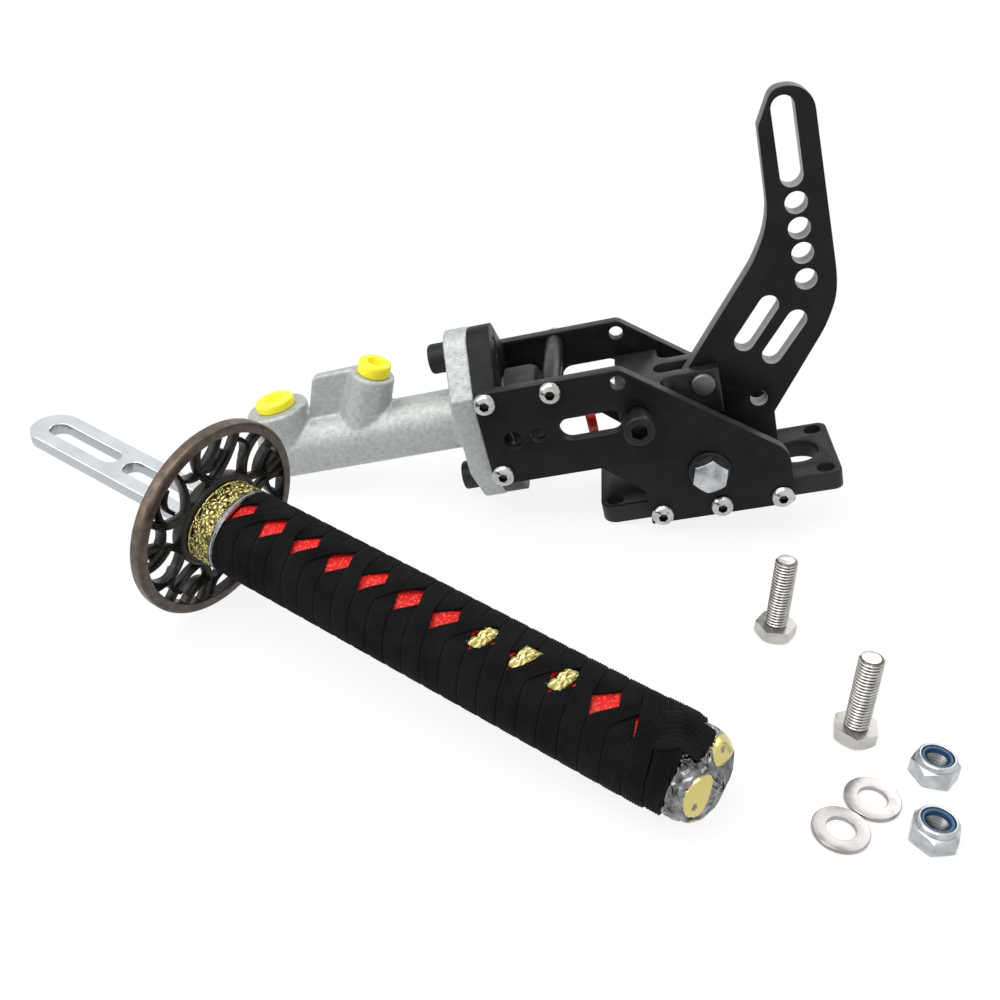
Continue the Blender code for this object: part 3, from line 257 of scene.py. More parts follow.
plateBlack = {"dark": (0.0040, 0.0040, 0.0043), "light": (0.0085, 0.0085, 0.009), "rough": (0.36, 0.48), "bump": 0.25,
              "grain": 4200.0, "fixed": {"Specular IOR Level": 0.16}}
bareSteel = {"metal": 1.0, "bump": 0.12, "grain": 1500.0}
finishes = {
    # painted highlight: blackPlate's cut walls are lighter than its faces; leverPlate's are light grey, lightest in its
    # holes and slots, partly bare machined metal and partly a painted reflection
    "blackPlate": {**plateBlack, "marked": ("cutWall", (0.030, 0.030, 0.032))},
    "leverPlate": {**plateBlack, "marked": ("cutWall", (0.27, 0.27, 0.28))},
    "castAlloy": {"dark": (0.34, 0.355, 0.345), "light": (0.47, 0.49, 0.475), "rough": (0.42, 0.60), "metal": 0.5,
                  "patchScale": 520.0, "roughScale": 300.0, "bump": 0.75, "grain": 1500.0, "depth": 0.0003},
    "yellowPlastic": {"dark": (0.80, 0.70, 0.010), "light": (0.93, 0.84, 0.03), "rough": (0.30, 0.42), "bump": 0.1,
                      "grain": 900.0},
    # blackSteel, brightSteel and zincSteel: their socket colour is painted shade in a screw's key recess and in a nut's
    # bore
    "blackSteel": {"dark": (0.005, 0.005, 0.0055), "light": (0.012, 0.012, 0.013), "rough": (0.30, 0.46),
                   "metal": 0.1, "fixed": {"Specular IOR Level": 0.3}, "bump": 0.3, "grain": 3000.0,
                   "marked": ("socket", (0.002, 0.002, 0.002))},
    "brightSteel": {**bareSteel, "dark": (0.34, 0.34, 0.33), "light": (0.60, 0.60, 0.58), "rough": (0.12, 0.26),
                    "patchScale": 220.0, "grain": 1800.0, "marked": ("socket", (0.03, 0.03, 0.03))},
    "zincSteel": {**bareSteel, "dark": (0.36, 0.38, 0.40), "light": (0.58, 0.60, 0.61), "rough": (0.20, 0.34),
                  "patchScale": 300.0, "marked": ("socket", (0.10, 0.10, 0.10))},
    "stainless": {**bareSteel, "dark": (0.27, 0.257, 0.25), "light": (0.45, 0.43, 0.425), "rough": (0.22, 0.36),
                  "patchScale": 260.0},
    # painted shade: boltSteel's groove colour darkens the thread's groove and the face under the head
    "boltSteel": {**bareSteel, "dark": (0.40, 0.39, 0.365), "light": (0.60, 0.585, 0.55), "rough": (0.24, 0.38),
                  "metal": 0.8, "patchScale": 260.0, "marked": ("groove", (0.15, 0.145, 0.13))},
    "pinSteel": {"dark": (0.10, 0.10, 0.105), "light": (0.17, 0.17, 0.175), "rough": (0.38, 0.55), "metal": 0.8,
                 "bump": 0.25},
    "clevisSteel": {"dark": (0.008, 0.008, 0.009), "light": (0.018, 0.018, 0.020), "rough": (0.36, 0.50),
                    "metal": 0.2, "bump": 0.2, "grain": 2600.0},
    "blueNylon": {"dark": (0.008, 0.045, 0.12), "light": (0.018, 0.10, 0.20), "rough": (0.35, 0.5), "bump": 0.1},
    "rubber": {"dark": (0.010, 0.010, 0.010), "light": (0.022, 0.022, 0.022), "rough": (0.55, 0.75), "bump": 0.3,
               "grain": 1800.0},
    "bushBronze": {"dark": (0.38, 0.25, 0.10), "light": (0.52, 0.36, 0.15), "rough": (0.3, 0.45), "metal": 1.0,
                   "bump": 0.2},
    # painted shade: barSilver's cut-wall colour darkens the bar's side walls
    "barSilver": {"dark": (0.56, 0.58, 0.60), "light": (0.72, 0.74, 0.76), "rough": (0.22, 0.36), "metal": 0.9,
                  "patchScale": 60.0, "bump": 0.15, "grain": 1600.0, "marked": ("cutWall", (0.42, 0.44, 0.47))},
    "guardBronze": {"dark": (0.006, 0.0058, 0.0055), "light": (0.020, 0.018, 0.016), "rough": (0.28, 0.46),
                    "metal": 0.5, "patchScale": 300.0, "bump": 0.5, "grain": 1400.0, "worn": 0.35,
                    "marked": ("rubbed", (0.165, 0.118, 0.078))},
    "oldGold": {"dark": (0.46, 0.38, 0.12), "light": (0.74, 0.66, 0.28), "rough": (0.22, 0.36), "metal": 1.0,
                "patchScale": 400.0, "bump": 0.2, "grain": 1600.0, "marked": ("hollow", (0.020, 0.018, 0.012))},
    "gunmetal": {"dark": (0.030, 0.030, 0.032), "light": (0.34, 0.34, 0.35), "rough": (0.14, 0.34), "metal": 1.0,
                 "patchScale": 260.0, "bump": 0.3, "grain": 900.0, "marked": ("gilded", (0.62, 0.54, 0.20))},
    "cord": {"dark": (0.0020, 0.0026, 0.0023), "light": (0.0070, 0.0082, 0.0075), "rough": (0.75, 0.9), "bump": 0.9,
             "grain": 1900.0, "depth": 0.0003, "fixed": {"Specular IOR Level": 0.12}},
    "gripRed": {"dark": (0.46, 0.004, 0.004), "light": (0.66, 0.012, 0.010), "rough": (0.45, 0.6), "bump": 0.4,
                "grain": 900.0, "dots": (1050.0, (0.86, 0.11, 0.09)), "fixed": {"Specular IOR Level": 0.2}},
    "redFilm": {"dark": (0.62, 0.008, 0.012), "light": (0.80, 0.03, 0.03), "rough": (0.15, 0.3), "bump": 0.1,
                "fixed": {"Transmission Weight": 0.35}},
}
paints = {name: finish(name, look) for name, look in finishes.items()}
print("finishes mixed:", len(paints))


# Outlines and meshes

def inArc(centre, radius, first, last, step):
    count = max(2, math.ceil(abs(last - first) / math.radians(step)))
    turns = [first + (last - first) * index / count for index in range(count + 1)]
    return [(centre[0] + radius * math.cos(a), centre[1] + radius * math.sin(a)) for a in turns]


def rounded(corners, step=6.0, closed=True):
    # corners are (x, y, fillet radius); an open line keeps its two ends as they are
    outline = []
    for index, (x, y, radius) in enumerate(corners):
        atEnd = not closed and index in (0, len(corners) - 1)
        if radius <= 0 or atEnd:
            outline.append((x, y))
            continue
        here = Vector((x, y))
        back = (Vector(corners[index - 1][:2]) - here).normalized()
        ahead = (Vector(corners[(index + 1) % len(corners)][:2]) - here).normalized()
        half = back.angle(ahead) / 2
        centre = here + (back + ahead).normalized() * (radius / math.sin(half))
        first = here + back * (radius / math.tan(half)) - centre
        last = here + ahead * (radius / math.tan(half)) - centre
        start = math.atan2(first.y, first.x)
        sweep = (math.atan2(last.y, last.x) - start + math.pi) % (2 * math.pi) - math.pi
        outline += inArc(centre, radius, start, start + sweep, step)
    return outline


def ellipse(halfX, halfY, step):
    turns = [math.radians(step * index) for index in range(round(360 / step))]
    return [(halfX * math.cos(a), halfY * math.sin(a)) for a in turns]


def ring(x, y, diameter, step=7.5):
    return inArc((x, y), diameter / 2, 0, 2 * math.pi, step)[:-1]


def oblong(x0, y0, x1, y1, width, step=7.5):
    lie = math.atan2(y1 - y0, x1 - x0)
    quarter = math.pi / 2
    far = inArc((x1, y1), width / 2, lie - quarter, lie + quarter, step)
    return far + inArc((x0, y0), width / 2, lie + quarter, lie + 3 * quarter, step)


def meshOf(obj):
    # the object's evaluated shape as one welded mesh, after which the object goes
    bpy.context.view_layer.update()
    graph = bpy.context.evaluated_depsgraph_get()
    mesh = bpy.data.meshes.new_from_object(obj.evaluated_get(graph))
    mesh.transform(obj.matrix_world)
    bpy.data.objects.remove(obj, do_unlink=True)
    weld(mesh)
    return mesh


def weld(mesh, reach=1e-6, turnOut=True):
    shape = bmesh.new()
    shape.from_mesh(mesh)
    bmesh.ops.remove_doubles(shape, verts=shape.verts, dist=reach)
    if turnOut:
        bmesh.ops.recalc_face_normals(shape, faces=shape.faces)
    shape.to_mesh(mesh)
    shape.free()


def slab(outlines, thick, edge=0.0):
    # a flat outline with its holes, given thickness and a rounded edge all round
    curve = bpy.data.curves.new("outline", "CURVE")
    curve.dimensions = "2D"
    curve.fill_mode = "BOTH"
    curve.extrude = (thick / 2 - edge) * mm
    curve.bevel_depth = edge * mm
    curve.bevel_resolution = 2
    curve.offset = -edge * mm
    for outline in outlines:
        spline = curve.splines.new("POLY")
        spline.points.add(len(outline) - 1)
        for point, (x, y) in zip(spline.points, outline):
            point.co = (x * mm, y * mm, 0, 1)
        spline.use_cyclic_u = True
    return meshOf(linkedObject("outline", curve))


def lathe(profile, steps=64, closed=False):
    # (radius, height) points turned about Z; a closed profile makes a ring
    points, faces, rows = [], [], []
    for radius, height in profile:
        if radius <= 1e-6:
            rows.append([len(points)] * steps)
            points.append((0, 0, height * mm))
            continue
        rows.append(list(range(len(points), len(points) + steps)))
        for index in range(steps):
            angle = 2 * math.pi * index / steps
            points.append((radius * math.cos(angle) * mm, radius * math.sin(angle) * mm, height * mm))
    pairs = list(zip(rows, rows[1:]))
    if closed:
        pairs.append((rows[-1], rows[0]))
    for low, high in pairs:
        for index in range(steps):
            after = (index + 1) % steps
            face = []
            for corner in (low[index], low[after], high[after], high[index]):
                if corner not in face:
                    face.append(corner)
            if len(face) > 2:
                faces.append(face)
    mesh = bpy.data.meshes.new("lathe")
    mesh.from_pydata(points, [], faces)
    weld(mesh)
    return mesh


def prism(sides, flats, low, high):
    shape = bmesh.new()
    radius = flats / 2 / math.cos(math.pi / sides) * mm
    bmesh.ops.create_cone(shape, cap_ends=True, segments=sides, radius1=radius, radius2=radius, depth=(high - low) * mm)
    bmesh.ops.translate(shape, verts=shape.verts, vec=(0, 0, (low + high) / 2 * mm))
    mesh = bpy.data.meshes.new("prism")
    shape.to_mesh(mesh)
    shape.free()
    return mesh


def combined(mesh, *changes):
    for operation, other in changes:
        base = linkedObject("base", mesh)
        tool = linkedObject("tool", other)
        change = base.modifiers.new("Change", "BOOLEAN")
        change.operation = operation
        change.object = tool
        mesh = meshOf(base)
        bpy.data.objects.remove(tool, do_unlink=True)
    return mesh


def joined(meshes):
    shape = bmesh.new()
    for mesh in meshes:
        shape.from_mesh(mesh)
    whole = bpy.data.meshes.new("joined")
    shape.to_mesh(whole)
    shape.free()
    return whole


def moved(mesh, place):
    mesh.transform(place)
    return mesh


def tube(name, points, steps):
    # rows of points that go all round, joined by walls and closed by a face at each end
    rows = len(points) // steps
    faces = []
    for near in range(0, (rows - 1) * steps, steps):
        for step in range(steps):
            after = (step + 1) % steps
            faces.append((near + step, near + after, near + steps + after, near + steps + step))
    faces += [list(range(steps - 1, -1, -1)), list(range((rows - 1) * steps, rows * steps))]
    mesh = bpy.data.meshes.new(name)
    mesh.from_pydata(points, [], faces)
    return mesh


def inside(x, y, outline):
    within = False
    for (x0, y0), (x1, y1) in zip(outline, outline[1:] + outline[:1]):
        if (y0 > y) != (y1 > y) and x < (x1 - x0) * (y - y0) / (y1 - y0) + x0:
            within = not within
    return within


def marked(mesh, name, values, kind="POINT"):
    layer = mesh.attributes.new(name, "FLOAT", kind)
    layer.data.foreach_set("value", values)


def markFaces(mesh, name, rule):
    marked(mesh, name, [float(rule(face)) for face in mesh.polygons], "FACE")


def markCutWalls(mesh, outline, outer, holes):
    # painted light on the cut walls: how bright each wall is, the outline's own wall or a hole's wall; a painted
    # highlight on the black plates and the lever plate, painted shade on the tang bar
    def brightness(face):
        if abs(face.normal.z) > 0.5:
            return 0.0
        x, y = ((face.center + face.normal * 0.0004) / mm)[:2]
        return holes if inside(x, y, outline) else outer
    markFaces(mesh, "cutWall", brightness)


def shade(mesh, angle=35.0):
    mesh.polygons.foreach_set("use_smooth", [True] * len(mesh.polygons))
    mesh.set_sharp_from_angle(angle=math.radians(angle))


def piece(name, mesh, place, paint, body, slot, *nodes, angle=35.0):
    # a finished piece: set in its place, painted, smoothed up to the angle, tied to its body, and the CAD nodes it
    # stands for hidden
    mesh.transform(place)
    mesh.name = name
    mesh.materials.clear()
    mesh.materials.append(paints[paint])
    shade(mesh, angle)
    obj = linkedObject(name, mesh)
    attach(obj, body)
    if nodes:
        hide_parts(*nodes)
    return obj


def dressed(node, mesh, place, paint, slot, body="stand", angle=35.0):
    return piece(node + "_dressed", mesh, place, paint, body, slot, node, angle=angle)


def repaint(node, paint):
    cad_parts[node].data.materials.clear()
    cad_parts[node].data.materials.append(paints[paint])


def refined(node, paint, body, slot, edge, angle=30.0):
    # a welded copy of a CAD solid, its flats made whole and its edges eased
    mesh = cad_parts[node].data.copy()
    weld(mesh, 2e-6, turnOut=False)
    shape = bmesh.new()
    shape.from_mesh(mesh)
    bmesh.ops.dissolve_limit(shape, angle_limit=math.radians(1.0), verts=shape.verts, edges=shape.edges)
    shape.to_mesh(mesh)
    shape.free()
    holder = linkedObject("refined", mesh)
    if edge:
        bevel = holder.modifiers.new("Ease", "BEVEL")
        bevel.width = edge * mm
        bevel.segments = 2
        bevel.limit_method = "ANGLE"
        bevel.angle_limit = math.radians(angle)
    return dressed(node, meshOf(holder), Matrix.Identity(4), paint, slot, body)


# Node trees for what repeats

def newTree(name, inputs):
    tree = bpy.data.node_groups.new(name, "GeometryNodeTree")
    tree.interface.new_socket("Geometry", in_out="OUTPUT", socket_type="NodeSocketGeometry")
    for label, kind in inputs.items():
        tree.interface.new_socket(label, in_out="INPUT", socket_type=f"NodeSocket{kind}")
    source = tree.nodes.new("NodeGroupInput")
    sink = tree.nodes.new("NodeGroupOutput")
    return tree, source.outputs, sink.inputs["Geometry"]


def evaluated(tree, inputs, start=None):
    holder = linkedObject("grown", start or bpy.data.meshes.new("grown"))
    grow = holder.modifiers.new("Grow", "NODES")
    grow.node_group = tree
    for item in tree.interface.items_tree:
        if item.in_out == "INPUT" and item.name in inputs:
            grow[item.identifier] = inputs[item.name]
    return meshOf(holder)


def copiesTree():
    # one prototype set on every point of the start mesh, turned by the point's own angles
    inputs = {"Geometry": "Geometry", "Prototype": "Object", "Paint": "Material"}
    tree, source, result = newTree("copiesOnPoints", inputs)
    make = tree.nodes.new
    shown = make("GeometryNodeObjectInfo")
    turn = make("GeometryNodeInputNamedAttribute")
    turn.data_type = "FLOAT_VECTOR"
    turn.inputs["Name"].default_value = "turn"
    spread = make("GeometryNodeInstanceOnPoints")
    real = make("GeometryNodeRealizeInstances")
    paint = make("GeometryNodeSetMaterial")
    join = tree.links.new
    join(source["Prototype"], shown.inputs["Object"])
    join(source["Geometry"], spread.inputs["Points"])
    join(shown.outputs["Geometry"], spread.inputs["Instance"])
    join(turn.outputs["Attribute"], spread.inputs["Rotation"])
    join(spread.outputs["Instances"], real.inputs["Geometry"])
    join(real.outputs["Geometry"], paint.inputs["Geometry"])
    join(source["Paint"], paint.inputs["Material"])
    join(paint.outputs["Geometry"], result)
    return tree


setOnPoints = copiesTree()


def copies(mesh, places, paint):
    # the prototype's mesh at each of the places, as one mesh
    points = bpy.data.meshes.new("points")
    points.from_pydata([place.translation for place in places], [], [])
    turn = points.attributes.new("turn", "FLOAT_VECTOR", "POINT")
    for item, place in zip(turn.data, places):
        item.vector = place.to_euler()
    prototype = linkedObject("prototype", mesh)
    whole = evaluated(setOnPoints, {"Prototype": prototype, "Paint": paints[paint]}, points)
    bpy.data.objects.remove(prototype, do_unlink=True)
    return whole


# Plates of the stand

# each plate's walls give how much painted highlight its cut walls get: the outline's own wall, then the holes' walls
sidePlate = {
    "corners": [(-90.4, 30.5, 4.5), (-45.4, 30.5, 0.8), (-29.5, 16.0, 2), (-29.5, 0, 0.4), (29.5, 0, 2.5),
                (29.5, 24.5, 12), (-31.0, 72.5, 5), (-90.4, 72.5, 4.5)],
    "slots": [(-53.8, 50.7, -38.2, 50.7, 10.4)],
    "holes": [(-24.5, 4, 5.6), (0, 4, 5.6), (24.5, 4, 5.6), (-85.9, 35, 5.6), (-85.9, 68, 5.6), (-59.3, 68, 5.6),
              (-3, 22, 8.6), (-27, 51.5, 8.6), (-68.0, 50.3, 6.0), (-78.4, 49.8, 8.0), (-32.6, 67.1, 6.0)],
    "thick": 5.0,
    "edge": 0.35,
    "walls": (0.6, 0.6),  # how bright the outline's cut wall and the holes' walls are
}
basePlate = {
    "corners": [(-50, -22.2, 6.5), (50, -22.2, 4), (50, 22.2, 4), (-50, 22.2, 6.5)],
    "holes": [(-43.7, -16.5, 7.0), (-43.7, 16.5, 7.0), (43.7, -16.5, 7.0), (43.7, 16.5, 7.0), (34.8, 0, 17.5)],
    "thick": standLayout["baseThick"],
    "edge": 0.45,
    "walls": (0.6, 0.6),
}
leverPlate = {
    "corners": [(32.6, 146.0, 3), (38.5, 158.1, 5), (52.9, 158.1, 10.5), (56.2, 86.0, 60), (55.6, 76.0, 30),
                (50.5, 64.5, 45), (27.0, 30.4, 3), (27.4, 8.3, 2), (5, 8.3, 6), (-15, 14.0, 11), (-15, 44.6, 8),
                (24.7, 95.1, 36), (33.0, 110.0, 38)],
    "slots": [(41.9, 150.9, 42.8, 126.2, 8.4), (29.5, 77.7, 18.6, 64.2, 8.0), (39.6, 69.6, 28.8, 56.5, 8.0)],
    "holes": [(43.5, 115.9, 8.4), (43.8, 106.0, 8.4), (44.2, 96.1, 8.4), (44.6, 85.5, 8.4), (21.6, 38.2, 7.0),
              (-3, 22, 14.6), (0, 51.5, 8.6)],
    "thick": 8.0,
    "edge": 0.5,
    "walls": (0.3, 1.0),
}


def platePiece(node, plate, place, paint, body):
    outline = rounded(plate["corners"])
    cuts = [oblong(*slot) for slot in plate.get("slots", [])] + [ring(*hole) for hole in plate["holes"]]
    mesh = slab([outline] + cuts, plate["thick"], plate["edge"])
    markCutWalls(mesh, outline, *plate["walls"])
    dressed(node, mesh, place, paint, "black_plate", body, angle=25.0)


def makePlates():
    for node, side in (("front_side_plate", -1), ("rear_side_plate", 1)):
        place = standFrame @ shifted(y=side * standLayout["sideMiddle"]) @ towardFront
        platePiece(node, sidePlate, place, "blackPlate", "stand")
    platePiece("base_plate", basePlate, standFrame @ shifted(z=basePlate["thick"] / 2), "blackPlate", "stand")
    platePiece("lever_plate", leverPlate, standFrame @ towardFront, "leverPlate", "lever")
    refined("end_plate", "blackPlate", "stand", "black_plate", 0.4)


makePlates()
print("plates made")


# Fasteners of the stand

sideFace = standLayout["sideMiddle"] + sidePlate["thick"] / 2 + 0.1  # where a head rests, a tenth clear of the plate
buttonScrew = {"head": 9.5, "rise": 2.75, "shank": 5.0, "length": 16.0, "key": 3.5,
               "across": [-24.5, 0.0, 24.5], "baseZ": 4.0, "endX": -85.9, "spacerX": -59.3, "levels": (35.0, 68.0)}
capScrew = {"head": 12.6, "rise": 8.0, "shank": 8.0, "key": 6.0, "ridges": 40, "ridge": 0.42,
            "lockX": -27.0, "lockSeat": 33.5, "lockLength": 12.2,
            "boltHalf": 28.575, "flangeFace": 101.0, "boltLength": 19.5}
hexagon = {"flats": 13.0, "rise": 5.3, "shank": 8.0, "pitch": 1.25, "threadDepth": 0.72, "crest": 0.42,
           "seat": sideFace + 1.7, "plain": 50.0, "past": 10.0, "nutRise": 8.0, "nutBore": 4.3}


def markSocket(mesh, reach, depth):
    # painted shade: the key's recess is darker than the head about it
    def within(face):
        x, y, z = face.center / mm
        return math.hypot(x, y) < reach and z > depth - 0.05 and (abs(face.normal.z) < 0.5 or z < depth + 0.2)
    markFaces(mesh, "socket", within)


def buttonMesh():
    radius, rise, half = buttonScrew["head"] / 2, buttonScrew["rise"], buttonScrew["shank"] / 2
    profile = rounded([(0, rise, 0), (radius * 0.45, rise, 0.6), (radius * 0.84, rise * 0.7, 2.2),
                       (radius, rise * 0.22, 0.5), (radius, 0, 0.25), (half, 0, 0), (half, -buttonScrew["length"], 0.4),
                       (0, -buttonScrew["length"], 0)], 10, closed=False)
    mesh = combined(lathe(profile, 48), ("DIFFERENCE", prism(6, buttonScrew["key"], rise * 0.4, rise + 1)))
    markSocket(mesh, buttonScrew["key"] * 0.62, rise * 0.4)
    return mesh


def ridgeTree():
    # fine upright ridges round a cap screw's head
    inputs = {"Ridges": "Int", "Radius": "Float", "Height": "Float", "Width": "Float"}
    tree, source, result = newTree("knurledHead", inputs)
    make, join = tree.nodes.new, tree.links.new
    circle = make("GeometryNodeMeshCircle")
    bar = make("GeometryNodeMeshCylinder")
    bar.inputs["Vertices"].default_value = 6
    spread = make("GeometryNodeInstanceOnPoints")
    real = make("GeometryNodeRealizeInstances")
    join(source["Ridges"], circle.inputs["Vertices"])
    join(source["Radius"], circle.inputs["Radius"])
    join(source["Width"], bar.inputs["Radius"])
    join(source["Height"], bar.inputs["Depth"])
    join(circle.outputs["Mesh"], spread.inputs["Points"])
    join(bar.outputs["Mesh"], spread.inputs["Instance"])
    join(spread.outputs["Instances"], real.inputs["Geometry"])
    join(real.outputs["Geometry"], result)
    return tree


def capMesh(length):
    radius, rise, half = capScrew["head"] / 2 - 0.12, capScrew["rise"], capScrew["shank"] / 2
    profile = rounded([(0, rise, 0), (radius, rise, 0.9), (radius, 0, 0.4), (half, 0, 0), (half, -length, 0.6),
                       (0, -length, 0)], 10, closed=False)
    head = combined(lathe(profile, 64), ("DIFFERENCE", prism(6, capScrew["key"], rise / 2, rise + 1)))
    ridges = evaluated(ridgeTree(), {"Ridges": capScrew["ridges"], "Radius": (radius - 0.1) * mm,
                                     "Height": (rise - 2.0) * mm, "Width": capScrew["ridge"] / 2 * mm})
    ridges.transform(shifted(z=rise / 2))
    mesh = joined([head, ridges])
    markSocket(mesh, capScrew["key"] * 0.62, rise / 2)
    return mesh


def hexMesh(rise):
    flats = hexagon["flats"]
    corner = flats / math.sqrt(3)
    dome = lathe([(0, rise), (flats * 0.47, rise), (flats * 0.5, rise - 0.25), (corner + 0.1, rise * 0.8),
                  (corner + 0.1, 0.18), (flats * 0.5, 0), (0, 0)], 72)
    return combined(prism(6, flats, -0.5, rise + 0.5), ("INTERSECT", dome))


def threadMesh(low, high, top):
    # a thread cut as one winding groove, its crests a little flat; top is where the plain shank begins
    pitch, radius, depth = hexagon["pitch"], hexagon["shank"] / 2, hexagon["threadDepth"]
    steps, perTurn = 40, 8
    rows = int((high - low) / pitch * perTurn)
    points = []
    for row in range(rows + 1):
        height = low + (high - low) * row / rows
        ends = min(1.0, (height - low) / 1.0)
        fade = min(1.0, max(0.0, (top - height) / pitch))
        for step in range(steps):
            share = (height / pitch - step / steps) % 1.0
            groove = max(0.0, 1 - abs(share - 0.5) / hexagon["crest"]) * depth * fade
            reach = radius - groove - (1 - ends) * 0.7
            angle = 2 * math.pi * step / steps
            points.append((reach * math.cos(angle) * mm, reach * math.sin(angle) * mm, height * mm))
    return tube("thread", points, steps)


def makeStandFasteners():
    places, names = [], []
    for side, end, turn in ((-1, "front", towardFront), (1, "rear", towardRear)):
        spots = []
        for number, x in enumerate(buttonScrew["across"], 1):
            spots.append((f"base_screw_{end}_{number}", x, buttonScrew["baseZ"]))
        for label, z in zip(("lower", "upper"), buttonScrew["levels"]):
            spots.append((f"end_screw_{end}_{label}", buttonScrew["endX"], z))
        spots.append((f"spacer_screw_{end}", buttonScrew["spacerX"], buttonScrew["levels"][1]))
        for number, (name, x, z) in enumerate(spots):
            places.append(standFrame @ shifted(x, side * sideFace, z) @ turn @ turned(z=37 * number + 11))
            names.append(name)
    piece("plate_screws", copies(buttonMesh(), places, "brightSteel"), Matrix.Identity(4), "brightSteel", "stand",
          "stainless", *names)

    lockPlace = standFrame @ shifted(capScrew["lockX"], -capScrew["lockSeat"], standLayout["axisHeight"]) @ towardFront
    dressed("lock_bolt", capMesh(capScrew["lockLength"]), lockPlace, "blackSteel", "black_steel")
    for label, side in (("upper", 1), ("lower", -1)):
        place = cylinderFrame @ shifted(side * capScrew["boltHalf"], 0, capScrew["flangeFace"]) @ turned(z=17 * side)
        dressed(f"flange_bolt_{label}", capMesh(capScrew["boltLength"]), place, "blackSteel", "black_steel")

    seat, plain, rise, bore = (hexagon[key] for key in ("seat", "plain", "nutRise", "nutBore"))
    half = hexagon["shank"] / 2
    shank = lathe([(0, 0.5), (half, 0.5), (half, -plain), (0, -plain)], 32)
    thread = threadMesh(-2 * seat - hexagon["past"], -plain, 10 - plain)
    bolt = joined([hexMesh(hexagon["rise"]), shank, thread])
    dressed("pivot_bolt", bolt, pivotFrame @ shifted(y=-seat) @ turned(x=90, y=15), "zincSteel", "zinc_steel")
    nut = combined(hexMesh(rise), ("DIFFERENCE", lathe([(0, rise + 1), (bore, rise + 1), (bore, -1), (0, -1)], 40)))
    dressed("pivot_nut", nut, pivotFrame @ shifted(y=seat) @ towardRear, "zincSteel", "zinc_steel")
    for end in ("front", "rear"):
        refined(f"pivot_washer_{end}", "blackSteel", "stand", "black_steel", 0.2)
    refined("plate_spacer", "blackSteel", "stand", "black_steel", 0.3)


makeStandFasteners()
print("stand fasteners made")


# Cast master cylinder, its plugs and boot

castBody = {"voxel": 0.62, "smoothing": 14}
bootOutline = [(17, 80.2, 0.4), (17, 69.5, 2), (16, 67.2, 0.6), (13.8, 66, 1), (5.5, 66, 0.6), (5.5, 68, 0.4),
               (12.3, 68, 0.6), (14.3, 70, 0.6), (14.3, 80.2, 0.3)]
plugs = {
    "outlet": {"radius": 8.5, "rise": 4.0, "dish": 3.4, "deep": 2.6, "axis": (-181.5, 72.0, 0.0), "reach": 7.0},
    "inlet": {"radius": 7.0, "rise": 5.5, "dish": 2.6, "deep": 3.6, "axis": (-134.726, 79.121, 27.0), "reach": 12.0},
}


def makeCylinder():
    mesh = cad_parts["cylinder_body"].data.copy()
    weld(mesh, 2e-6, turnOut=False)
    holder = linkedObject("casting", mesh)
    remesh = holder.modifiers.new("Cast", "REMESH")
    remesh.mode = "VOXEL"
    remesh.voxel_size = castBody["voxel"] * mm
    soften = holder.modifiers.new("Soften", "SMOOTH")
    soften.factor = 0.5
    soften.iterations = castBody["smoothing"]
    piece("cylinder_casting", meshOf(holder), Matrix.Identity(4), "castAlloy", "stand", "cast_alloy", "cylinder_body",
          angle=60.0)

    for label, plug in plugs.items():
        radius, rise, dish = plug["radius"], plug["rise"], plug["dish"]
        floor = rise - plug["deep"]
        profile = rounded([(0, floor, 0), (dish, floor, 0.5), (dish + 0.9, rise, 0.8), (radius, rise, 1.4),
                           (radius, 0, 0.3), (4.7, 0, 0), (4.5, -plug["reach"], 0.5), (0, -plug["reach"], 0)],
                          10, closed=False)
        x, z, lean = plug["axis"]
        place = standFrame @ shifted(x, 0, z) @ turned(y=lean) @ shifted(z=0.1)
        dressed(f"{label}_plug", lathe(profile, 64), place, "yellowPlastic", "yellow_plastic")

    boot = lathe(rounded(bootOutline, 12), 72, closed=True)
    dressed("dust_boot", boot, cylinderFrame, "rubber", "black_rubber")


makeCylinder()
print("cylinder made")


# Fork, pin, rod and what the bore holds

# each: the finish, the body it rides on, the record's slot, how far the edges are eased, and from what angle
rodGroup = {
    "clevis": ("clevisSteel", "rod", "stainless", 0.35),
    "clevis_pin": ("pinSteel", "rod", "zinc_steel", 0.15, 40.0),
    "pushrod": ("zincSteel", "rod", "zinc_steel", 0.0),
    "rod_lock_nut": ("zincSteel", "rod", "zinc_steel", 0.15),
    "clevis_pin_clip": ("blackSteel", "rod", "black_steel", 0.0),
    "pivot_bush": ("bushBronze", "lever", "bush_bronze", 0.2, 50.0),
}
boreParts = {"piston": "stainless", "primary_cup": "rubber", "secondary_cup": "rubber", "stop_washer": "zincSteel",
             "circlip": "blackSteel"}


def makeRodGroup():
    for node, how in rodGroup.items():
        refined(node, *how)
    for node, paint in boreParts.items():
        repaint(node, paint)
    squeezeSpring()


def squeezeSpring():
    # the return spring: a welded copy of the CAD coil, given a mesh of its own
    coil = refined("return_spring", "zincSteel", "stand", "zinc_steel", 0.0)
    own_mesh(coil)


makeRodGroup()
print("rod group made")


# Handle: bar, openwork guard, relief collar, core, crossed wrap, ornaments and cap

def bowedLine(first, last, bow, steps=12):
    # points on a curve that bows to the left of the straight way
    way = (last - first).normalized()
    control = (first + last) / 2 + Vector((-way.y, way.x)) * 2 * bow
    shares = [step / steps for step in range(steps + 1)]
    return [first * (1 - t) ** 2 + control * (2 * t * (1 - t)) + last * t**2 for t in shares]


